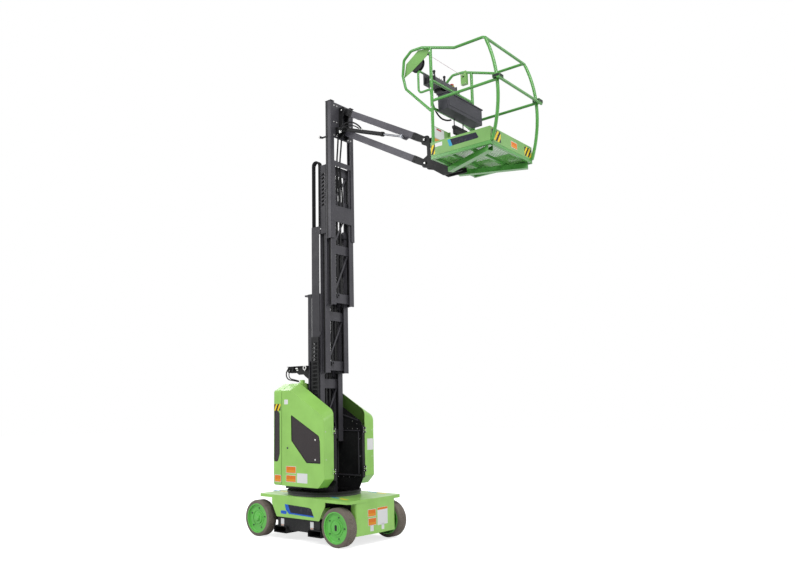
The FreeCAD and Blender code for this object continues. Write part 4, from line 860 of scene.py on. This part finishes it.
def channel_shade_sheets():
    """Black sheets on both faces of each section's webs, and on the carriage's two channels: painted shade
    for the dark recesses, not real liners.
    """
    flange, web, skin = 0.012, 0.010, 0.0015
    middle_y = MAST_HALF - 0.0375
    for n in (1, 2, 3, 4):
        front, foot = section_front(n), section_foot(n)
        rear = front - SECTION_DEPTH
        bm = bmesh.new()
        # Painted shade: thin dark sheets standing in for the shadow in the recesses beside each web.
        for side in (-1, 1):
            for face in (-1, 1):
                y = side * (middle_y + face * web / 2)
                low = (rear + flange + 0.006, y, foot + 0.004)
                high = (front - flange - 0.006, y + side * face * skin, foot + SECTION_LEN - 0.004)
                block(bm, low, high, 0, 0.0004)
        piece("channel_shade_sheets_" + str(n), bm, MAST_BODIES[n], ["black"])
    rear = 0.257
    low, high = section_foot(5) + 0.004, section_foot(5) + SECTION_LEN - 0.004
    bm = bmesh.new()
    # Painted shade: dark strips standing in for the shadowed faces of the carriage's channels.
    for side in (-1, 1):
        block(bm, (rear + 0.010, side * 0.2105, low), (rear + 0.032, side * 0.2125, high), 0, 0.0005)
        block(bm, (rear - 0.0015, side * 0.2095, low), (rear + 0.0005, side * 0.182, high), 0, 0.0004)
    piece("carriage_shade_strips", bm, "carriage", ["black"])


def mast_cap():
    """End plates on the carriage's two channels, and the small roller arm behind the near one."""
    top = section_foot(5) + SECTION_LEN
    bm = bmesh.new()
    for side in (-1, 1):
        block(bm, (0.2525, side * 0.2145, top), (0.350, side * 0.146, top + 0.007), 0, 0.0015)
    block(bm, (0.196, -0.2165, 4.688), (0.290, -0.2122, 4.712), 0, 0.0012)
    piece("mast_cap", bm, "carriage", ["black"])
    bm = bmesh.new()
    at = (0.190, -0.2235, 4.706)
    wheel = [(-0.022, 0.014), (-0.019, 0.016), (-0.008, 0.012), (0.004, 0.016), (0.007, 0.014)]
    lathe(bm, wheel, at, Y, 24)
    lathe(bm, [(-0.026, 0.006), (0.010, 0.006)], at, Y, 12, 1)
    piece("arm_roller", bm, "carriage", ["plastic", "steel"])


def slotted_trough():
    """The fourth section's trough: a folded plate with nine leaning slots and lugs to the rail."""
    name = "hose_trough_4"
    low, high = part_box(name)
    rear, front = low.x, low.x + 0.093
    outer, inner = -0.2035, -0.2005
    pitch, slot_low, count = 0.047, 0.140, 9
    bm = bmesh.new()
    first = high.z - slot_low - (count - 1) * pitch - 0.004
    last = first + count * pitch
    for z0, z1 in ((low.z, first), (last, high.z)):
        block(bm, (rear, outer, z0), (front, inner, z1), 0, 0.0004)
    for i in range(count):
        z = first + i * pitch
        hole = [(rear + 0.022, z + 0.005), (rear + 0.074, z + 0.017), (rear + 0.074, z + 0.043),
                (rear + 0.022, z + 0.031)]
        edge = [(rear, z), (front, z), (front, z + pitch), (rear, z + pitch)]
        rings = [[bm.verts.new((u, y, v)) for u, v in outline]
                 for y, outline in ((outer, edge), (outer, hole), (inner, hole), (inner, edge))]
        rings.append(rings[0])
        ring_faces(bm, rings, 0, True)
    for z in (high.z - 0.060, low.z + 0.020):
        block(bm, (front - 0.011, inner, z), (front - 0.001, -MAST_HALF, z + 0.040), 0, 0.001)
    for side in (rear, front - 0.003):
        block(bm, (side, outer - 0.007, low.z), (side + 0.003, outer + 0.0005, high.z), 0, 0.0006)
    block(bm, (rear + 0.004, outer, low.z - 0.070), (front - 0.003, inner, low.z + 0.002), 0, 0.0004)
    obj = piece("slotted_trough", bm, "mast_4", ["trough"])
    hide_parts(name)


def loop_clamp():
    """Clamp plate and bolts under the shelf that the hose loop starts from."""
    bm = bmesh.new()
    block(bm, (0.012, -0.2036, 3.535), (0.148, -0.2000, 3.606), 0, 0.0006)
    for x in (0.030, 0.080, 0.130):
        hex_bolt(bm, (x, -0.2030, 3.552), -Y, 0.0055, 0.0045, 1)
    piece("loop_clamp", bm, "mast_3", ["trough", "dark_steel"])


def bracket_arm():
    """The hose bracket's rear arm: a folded plate with a clamp, that the base hoses run along."""
    bm = bmesh.new()
    place = facing((0, -0.1945, 0), X, Z)
    slab(bm, [(-0.060, 1.952), (-0.395, 1.952), (-0.418, 1.915), (-0.400, 1.880), (-0.330, 1.872),
              (-0.250, 1.872), (-0.215, 1.850), (-0.060, 1.850)], place, 0, 0.004)
    slab(bm, [(-0.395, 1.952), (-0.395, 1.946), (-0.060, 1.946), (-0.060, 1.952)], place, 0.003, 0.030)
    block(bm, (-0.312, -0.224, 1.890), (-0.288, -0.1980, 1.944), 0, 0.003)
    for x in (-0.380, -0.120):
        hex_bolt(bm, (x, -0.1985, 1.900), -Y, 0.007, 0.007, 1)
    piece("bracket_arm", bm, "turret", ["black", "steel"])


def carriage_bolts():
    """Bolts on the carriage's cross plates."""
    top = section_foot(5) + SECTION_LEN
    face = section_front(4) + 0.015
    bm = bmesh.new()
    for y in (-0.150, -0.100, 0.100, 0.150):
        for z in (top - 0.43, top - 0.26, top - 0.05):
            hex_bolt(bm, (face, y, z), X, 0.008, 0.008)
    piece("carriage_bolts", bm, "carriage", ["steel"])


# Hoses and cables

def hose(name, body, points, diameter):
    """A free hose between two fixed ends, as one smooth spline."""
    curve = bpy.data.curves.new(name, "CURVE")
    curve.dimensions = "3D"
    curve.bevel_depth = diameter / 2
    curve.bevel_resolution = 5
    curve.use_fill_caps = True
    spline = curve.splines.new("NURBS")
    spline.points.add(len(points) - 1)
    for spot, point in zip(spline.points, points):
        spot.co = (*point, 1)
    spline.order_u = 3
    spline.use_endpoint_u = True
    spline.resolution_u = 8
    curve.materials.append(mats["hose"])
    obj = bpy.data.objects.new(name, curve)
    scene.collection.objects.link(obj)
    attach(obj, body)


BASE_LOOP = [
    (-0.235, -0.209, 1.925), (-0.300, -0.216, 1.928), (-0.372, -0.218, 1.928), (-0.411, -0.218, 1.889),
    (-0.411, -0.218, 1.835), (-0.372, -0.218, 1.796), (-0.310, -0.218, 1.788), (-0.250, -0.218, 1.778),
    (-0.205, -0.218, 1.769), (-0.172, -0.218, 1.765),
]
BASE_LOOP_2 = [
    (-0.230, -0.203, 1.905), (-0.290, -0.204, 1.906), (-0.351, -0.204, 1.906), (-0.380, -0.204, 1.877),
    (-0.380, -0.204, 1.835), (-0.351, -0.204, 1.806), (-0.295, -0.204, 1.796), (-0.240, -0.203, 1.784),
    (-0.200, -0.202, 1.772), (-0.172, -0.202, 1.768),
]
JIB_LOOP = [
    (0.430, -0.146, 4.738), (0.440, -0.152, 4.768), (0.470, -0.156, 4.795), (0.516, -0.156, 4.812),
    (0.566, -0.153, 4.818), (0.618, -0.147, 4.808), (0.668, -0.136, 4.783), (0.706, -0.118, 4.748),
    (0.726, -0.100, 4.714), (0.731, -0.090, 4.700),
]
JIB_LOOP_2 = [
    (0.446, -0.141, 4.736), (0.460, -0.142, 4.760), (0.492, -0.142, 4.778), (0.536, -0.140, 4.788),
    (0.580, -0.134, 4.786), (0.626, -0.124, 4.770), (0.668, -0.111, 4.745), (0.694, -0.099, 4.722),
    (0.704, -0.092, 4.708),
]
CARRIAGE_HOSE = [
    (0.318, -0.052, 4.705), (0.315, -0.056, 4.600), (0.312, -0.066, 4.480), (0.312, -0.074, 4.360),
    (0.312, -0.066, 4.240), (0.312, -0.050, 4.120), (0.312, -0.040, 3.990), (0.314, -0.042, 3.870),
    (0.318, -0.046, 3.790),
]
CARRIAGE_HOSE_2 = [
    (0.318, 0.010, 4.705), (0.315, 0.004, 4.600), (0.312, -0.010, 4.480), (0.312, -0.020, 4.360),
    (0.312, -0.008, 4.240), (0.312, 0.010, 4.120), (0.312, 0.020, 3.990), (0.314, 0.018, 3.870),
    (0.318, 0.012, 3.790),
]
CONSOLE_CABLE = [
    (1.815, -0.235, 4.838), (1.812, -0.228, 4.800), (1.806, -0.205, 4.740), (1.802, -0.172, 4.680),
    (1.802, -0.138, 4.625), (1.812, -0.100, 4.575), (1.835, -0.068, 4.535), (1.870, -0.045, 4.513),
    (1.905, -0.030, 4.505), (1.930, -0.022, 4.508),
]


def hoses():
    """Free hoses by name, body, route, diameter and length, and the ferrules of the base and jib ones."""
    for name, body, points, diameter, length in (
            ("base_hose_outer", "turret", BASE_LOOP, 0.0145, 0.493),
            ("base_hose_inner", "turret", BASE_LOOP_2, 0.0115, 0.420),
            ("jib_hose_outer", "jib_barrel", JIB_LOOP, 0.018, 0.395),
            ("jib_hose_inner", "jib_barrel", JIB_LOOP_2, 0.014, 0.307),
            ("carriage_hose_near", "carriage", CARRIAGE_HOSE, 0.020, 0.917),
            ("carriage_hose_far", "carriage", CARRIAGE_HOSE_2, 0.020, 0.919),
            ("console_cable", "basket", CONSOLE_CABLE, 0.018, 0.466)):
        hose(name, body, points, diameter)
    ferrule = [(-0.014, CORE), (-0.014, 0.013), (0.016, 0.013), (0.018, CORE)]
    for name, body, ends in (("base", "turret", ((BASE_LOOP, 0.75), (BASE_LOOP_2, 0.60))),
                             ("jib", "jib_barrel", ((JIB_LOOP, 0.72), (JIB_LOOP_2, 0.55)))):
        bm = bmesh.new()
        for points, scale in ends:
            for tip, near in ((0, 1), (-1, -2)):
                along = (Vector(points[near]) - Vector(points[tip])).normalized()
                lathe(bm, [(a, r * scale) for a, r in ferrule], points[tip], along, 16)
        piece(name + "_hose_ferrules", bm, body, ["steel"])


def chain_cables():
    """Three cables inside the energy chain's links, seen through its windows."""
    bm = bmesh.new()
    for x in (0.050, 0.071, 0.092):
        lathe(bm, [(0, 0.0062), (1.660, 0.0062)], (x, -0.2155, 0.590), Z, 12)
    piece("chain_cables", bm, "turret", ["hose"])


def hose_anchor():
    """Green bulkhead fitting on the cover's roof where the base hoses go in, and the guide wheel's rim."""
    bm = bmesh.new()
    block(bm, (-0.190, -0.245, 1.690), (-0.105, -0.175, 1.752), 0, 0.004)
    block(bm, (-0.168, -0.233, 1.748), (-0.122, -0.188, 1.786), 0, 0.005)
    piece("base_hose_fitting", bm, "turret", ["green"])
    bm = bmesh.new()
    hollow(bm, 0.0285, 0.015, 0.0135, 0.020, (-0.095, -0.209, 1.928), -Y, 36)
    piece("guide_wheel_rim", bm, "turret", ["steel"])


# Jib

JIB_DROP = math.radians(29.7)
JIB_ALONG = Vector((math.cos(JIB_DROP), 0, -math.sin(JIB_DROP)))
JIB_ABOVE = Vector((math.sin(JIB_DROP), 0, math.cos(JIB_DROP)))
JIB_REAR = Vector((0.392, 0, 5.048))
JIB_LEN, LINK_H = 1.379, 0.270
HEAD_HALF, CARRIER_HALF = 0.062, 0.050


def jib_castings():
    """Black end castings that the two arms' beams are welded into, with their pin bosses."""
    for name, body, drop in (("upper", "jib_upper", 0.0), ("lower", "jib_lower", LINK_H)):
        root = JIB_REAR - Z * drop
        place = facing(root, JIB_ALONG, JIB_ABOVE)
        bm = bmesh.new()
        half = 0.0318
        ends = [(-1, JIB_LEN, 0.200)]
        if name == "upper":
            ends.append((1, 0.0, 0.150))
        for flip, pin, reach in ends:
            outline = [(pin + flip * reach, -0.0408), (pin + flip * reach, 0.0408)]
            outline += [(pin + flip * (reach - 0.035), 0.0415), (pin + flip * 0.045, 0.036)]
            for turn in range(60, 301, 30):
                a = math.radians(turn)
                outline.append((pin + flip * 0.037 * math.cos(a), 0.037 * math.sin(a)))
            outline += [(pin + flip * 0.045, -0.036), (pin + flip * (reach - 0.035), -0.0415)]
            slab(bm, outline, place, -half, half)
        for pin, reach in ((0.0, HEAD_HALF - 0.0170), (JIB_LEN, CARRIER_HALF - 0.0135)):
            at = root + JIB_ALONG * pin
            lathe(bm, [(-reach, 0.034), (-reach + 0.004, 0.0375), (reach - 0.004, 0.0375),
                       (reach, 0.034)], at, Y, 32)
        for u in [pin + flip * (reach - 0.035) for flip, pin, reach in ends]:
            for v in (-0.024, 0.024):
                hex_bolt(bm, place(u, v, half), place(u, v, 1) - place(u, v, 0), 0.007, 0.007)
        piece("jib_casting_" + name, bm, body, ["black"])


def pin_caps():
    """Keeper plates and bolts on the ends of the jib's four pins."""
    for body, centre, half in (("carriage", JIB_REAR, HEAD_HALF + 0.006),
                               ("basket", JIB_REAR + JIB_ALONG * JIB_LEN, CARRIER_HALF + 0.005)):
        bm = bmesh.new()
        for drop in (0.0, LINK_H):
            for side in (-1, 1):
                at = centre - Z * drop + Y * side * half
                lathe(bm, [(-0.003, 0.022), (0.003, 0.022), (0.004, 0.020)],
                      at, (0, side, 0), 24, 0)
                hex_bolt(bm, at + Y * side * 0.003, (0, side, 0), 0.009, 0.009, 1)
        piece("pin_caps_" + body, bm, body, ["black", "steel"])


# Basket

FLOOR_Z, FRAME_H = 3.960, 0.036
FLOOR_REAR, FLOOR_FRONT, FLOOR_HALF = 1.925, 2.622, 0.425
POST_Y = FLOOR_HALF - 0.021


def perforated_floor():
    """Frame, two ribs and a thin deck sheet with eight-sided holes, in place of the plain plate."""
    bm = bmesh.new()
    sheet, bar = 0.0016, 0.028
    top = FLOOR_Z + FRAME_H
    levels = (top, top + sheet)
    for side in (-1, 1):
        block(bm, (FLOOR_REAR, side * FLOOR_HALF, FLOOR_Z), (FLOOR_FRONT, side * (FLOOR_HALF - bar), top))
    for x in (FLOOR_REAR, FLOOR_REAR + 0.200, FLOOR_REAR + 0.440, FLOOR_FRONT - bar):
        block(bm, (x, -FLOOR_HALF + bar, FLOOR_Z + 0.004), (x + bar, FLOOR_HALF - bar, top))
    pitch, radius, margin = 0.0205, 0.0072, 0.030
    across = int((2 * (FLOOR_HALF - margin)) / pitch)
    along = int((FLOOR_FRONT - FLOOR_REAR - 2 * margin) / pitch)
    x0 = (FLOOR_REAR + FLOOR_FRONT) / 2 - along * pitch / 2
    y0 = -across * pitch / 2
    x1 = x0 + along * pitch
    y1 = y0 + across * pitch
    corners = {}
    for z in levels:
        for i in range(along * 2 + 1):
            for j in range(across * 2 + 1):
                if i % 2 == 0 or j % 2 == 0:
                    corners[z, i, j] = bm.verts.new((x0 + i * pitch / 2, y0 + j * pitch / 2, z))
    around = [(1, 0), (1, 1), (0, 1), (-1, 1), (-1, 0), (-1, -1), (0, -1), (1, -1)]
    turns = [k * math.pi / 4 for k in range(8)]
    for i in range(along):
        for j in range(across):
            cx, cy = x0 + (i + 0.5) * pitch, y0 + (j + 0.5) * pitch
            rings = []
            for z in levels:
                hole = [bm.verts.new((cx + radius * math.cos(a), cy + radius * math.sin(a), z))
                        for a in turns]
                edge = [corners[z, 2 * i + 1 + a, 2 * j + 1 + b] for a, b in around]
                ring_faces(bm, (hole, edge), 0, True)
                rings.append(hole)
            ring_faces(bm, rings, 0, True)
    side_y, end_y = FLOOR_HALF - 0.006, FLOOR_HALF - 0.044
    for low, high in (((FLOOR_REAR + 0.006, -end_y), (x0, end_y)),
                      ((x1, -end_y), (FLOOR_FRONT - 0.006, end_y)),
                      ((x0, y1), (x1, side_y)), ((x0, -side_y), (x1, y0))):
        block(bm, (*low, top), (*high, top + sheet), 0, 0.0003)
    obj = piece("perforated_floor", bm, "basket", ["rail"])
    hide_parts("basket_floor")


def basket_labels():
    toe = facing((2.140, -FLOOR_HALF, 4.046), X, Z)
    decal("toe_nameplate", "basket", toe, [
        ([(0.014, 0.0), (0.340, 0.004), (0.352, 0.012), (0.322, 0.068), (-0.010, 0.074)], "navy_film"),
        ([(0.014, 0.0), (0.050, 0.0005), (0.024, 0.073), (-0.010, 0.074)], "sky_film"),
    ])
    label("toe_label", "basket", facing((1.980, -FLOOR_HALF, 4.080), X, Z), 0.088, 0.040, "white_film")
    for name, at, along, width, height, pitch, lean in (
            ("rear", (1.930, -FLOOR_HALF, 4.008), X, 0.046, 0.100, 0.052, 0.040),
            ("near", (FLOOR_FRONT, -0.396, 4.014), Y, 0.170, 0.108, 0.068, 0.075),
            ("far", (FLOOR_FRONT, 0.262, 4.014), Y, 0.145, 0.100, 0.062, 0.070)):
        hazard("toe_hazard_" + name, "basket", facing(at, along, Z), width, height, pitch, lean)
    front = facing((FLOOR_FRONT, -0.020, 4.028), Y, Z)
    label("toe_label_front", "basket", front, 0.125, 0.068, "orange_film")
    board = facing((FLOOR_REAR + 0.004, -0.372, 4.152), Y, Z)
    decal("rear_label_white", "basket", board, [
        (rect(0.0, 0.070, 0.200, 0.186), "white_film"), (rect(0.060, 0.160, 0.150, 0.178), "red_film")])
    decal("rear_label_orange", "basket", board, [
        (rect(0.002, 0.0, 0.130, 0.066), "white_film"), (rect(0.006, 0.004, 0.126, 0.062), "amber_film")])


def console_details():
    """Lever boots and knobs, small switches, a red stop button, and the console's end plates and box."""
    back = 1.798
    stop = Vector((1.894, 0.070, 4.919))
    bm = bmesh.new()
    for lever in (-0.215, -0.020):
        at = Vector((back + 0.060, lever, 4.941))
        boot = [(0.0, 0.029)]
        for i in range(5):
            boot += [(0.006 * i + 0.003, 0.029 - 0.004 * i), (0.006 * i + 0.006, 0.024 - 0.004 * i)]
        boot += [(0.036, 0.0105), (0.066, 0.0110), (0.074, 0.015), (0.088, 0.015), (0.094, 0.009)]
        lathe(bm, boot, at, Z, 24, 1)
    for y in (-0.270, -0.160, -0.120, 0.018):
        lathe(bm, [(0, 0.009), (0.008, 0.009), (0.008, 0.004), (0.026, 0.0045), (0.028, CORE)],
              (back + 0.085, y, 4.935), (0.2, 0, 1), 14, 2)
    lathe(bm, [(0, 0.017), (0.014, 0.017), (0.014, 0.012), (0.024, 0.012), (0.026, 0.022),
               (0.034, 0.021), (0.038, 0.014), (0.039, CORE)], stop, Z, 28, 3)
    hollow(bm, 0.028, 0.020, 0.004, 0.010, stop, Z, 28, 4)
    piece("console_controls", bm, "basket", ["console", "plastic", "steel", "red", "yellow_film"])
    bm = bmesh.new()
    for y in (-0.306, 0.111):
        block(bm, (1.796, y, 4.850), (1.932, y + 0.005, 4.930))
    block(bm, (1.800, -0.150, 4.815), (1.900, 0.060, 4.843), 0, 0.006)
    piece("console_sides", bm, "basket", ["plastic"])


def tray_details():
    """Rolled lip of the open tool tray, and the raised panel on its front."""
    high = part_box("tool_tray")[1]
    bm = bmesh.new()
    rim = 0.007
    y0, y1 = -0.330, 0.350
    x0, x1 = high.x - 0.130, high.x
    z = high.z
    for a, b in (((x0 - rim, y0 - rim, z - 0.012), (x1 + rim, y0 + 0.004, z + 0.001)),
                 ((x0 - rim, y1 - 0.004, z - 0.012), (x1 + rim, y1 + rim, z + 0.001)),
                 ((x1 - 0.004, y0 + 0.004, z - 0.012), (x1 + rim, y1 - 0.004, z + 0.001)),
                 ((x0 - 0.001, y0 + 0.004, z - 0.012), (x0 + 0.004, y1 - 0.004, z + 0.001))):
        block(bm, a, b)
    block(bm, (x1 - 0.001, y0 + 0.020, z - 0.150), (x1 + 0.003, y1 - 0.020, z - 0.040), 0, 0.0025)
    piece("tray_lip", bm, "basket", ["grey_plastic"])


def trip_wire():
    """Black reel inside the near hoop, and its taut wire to the box inside the far one."""
    bm = bmesh.new()
    at = (1.742, -0.3855, 5.085)
    lathe(bm, [(0.0, 0.084), (0.005, 0.087), (0.010, 0.084), (0.011, 0.070), (0.034, 0.070),
               (0.035, 0.084), (0.040, 0.087), (0.045, 0.082), (0.050, 0.030)], at, Y, 48)
    for i in range(6):
        a = math.pi / 3 * i
        spot = Vector(at) + Vector((0.055 * math.cos(a), 0.050, 0.055 * math.sin(a)))
        dome(bm, spot, Y, 0.006, 0.003)
    piece("trip_reel", bm, "basket", ["plastic"])
    start, end = Vector((1.905, -0.380, 5.137)), Vector((1.878, 0.342, 5.147))
    bm = bmesh.new()
    along = end - start
    lathe(bm, [(0, 0.0022), (along.length * 0.5, 0.0023), (along.length, 0.0022)], start, along, 8)
    lathe(bm, [(-0.012, 0.009), (0.016, 0.007), (0.018, CORE)], start, along, 16, 1)
    lathe(bm, [(-0.018, CORE), (-0.016, 0.007), (0.006, 0.009)], end, along, 16, 1)
    piece("trip_wire", bm, "basket", ["wire", "plastic"])
    bm = bmesh.new()
    box_face = 0.341
    for x in (1.852, 1.902):
        for z in (5.062, 5.172):
            dome(bm, (x, box_face, z), -Y, 0.004, 0.002)
    piece("trip_box_screws", bm, "basket", ["steel"])


def bar_sleeves():
    """Black sleeves on the guides at both ends of the entry bar."""
    low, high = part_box("entry_bar")
    bm = bmesh.new()
    for side in (-1, 1):
        block(bm, (low.x - 0.0006, side * (high.y + 0.0006), high.z - 0.0325),
              (high.x + 0.0002, side * (high.y - 0.0846), high.z + 0.0006), 0, 0.004)
    piece("bar_sleeves", bm, "entry_bar", ["plastic"])


def manual_pouch():
    """Black document box hung from the rear cross tube by two straps, with a flap."""
    bm = bmesh.new()
    block(bm, (1.950, -0.040, 4.335), (1.984, 0.205, 4.420), 0, 0.008)
    block(bm, (1.946, -0.045, 4.395), (1.989, 0.210, 4.432), 0, 0.006)
    for y in (-0.010, 0.165):
        block(bm, (1.950, y, 4.428), (1.954, y + 0.016, 4.520), 0, 0.001)
    piece("manual_pouch", bm, "basket", ["plastic"])


def guard_bolts():
    """Clamp bolts where the guard, the hoops and the plates meet the posts."""
    bm = bmesh.new()
    rear_x = FLOOR_REAR + 0.021
    for side in (-1, 1):
        for z in (4.525, 4.830, 4.733, 5.150):
            hex_bolt(bm, (rear_x, side * (POST_Y + 0.0165), z), (0, side, 0), 0.006, 0.006)
    piece("post_bolts", bm, "basket", ["steel"])


make_camera()
make_materials()
hoses()
make_studio()
dress_nodes()
wheels()
chassis_labels()
deck_stripes()
turret_labels()
turret_fixings()
inner_walls()
door_seals()
rollers()
chain_plates()
channel_shade_sheets()
carriage_bolts()
mast_cap()
slotted_trough()
loop_clamp()
bracket_arm()
trough_hoses()
hose_anchor()
jib_castings()
pin_caps()
perforated_floor()
basket_labels()
console_details()
tray_details()
trip_wire()
bar_sleeves()
chain_cables()
manual_pouch()
guard_bolts()
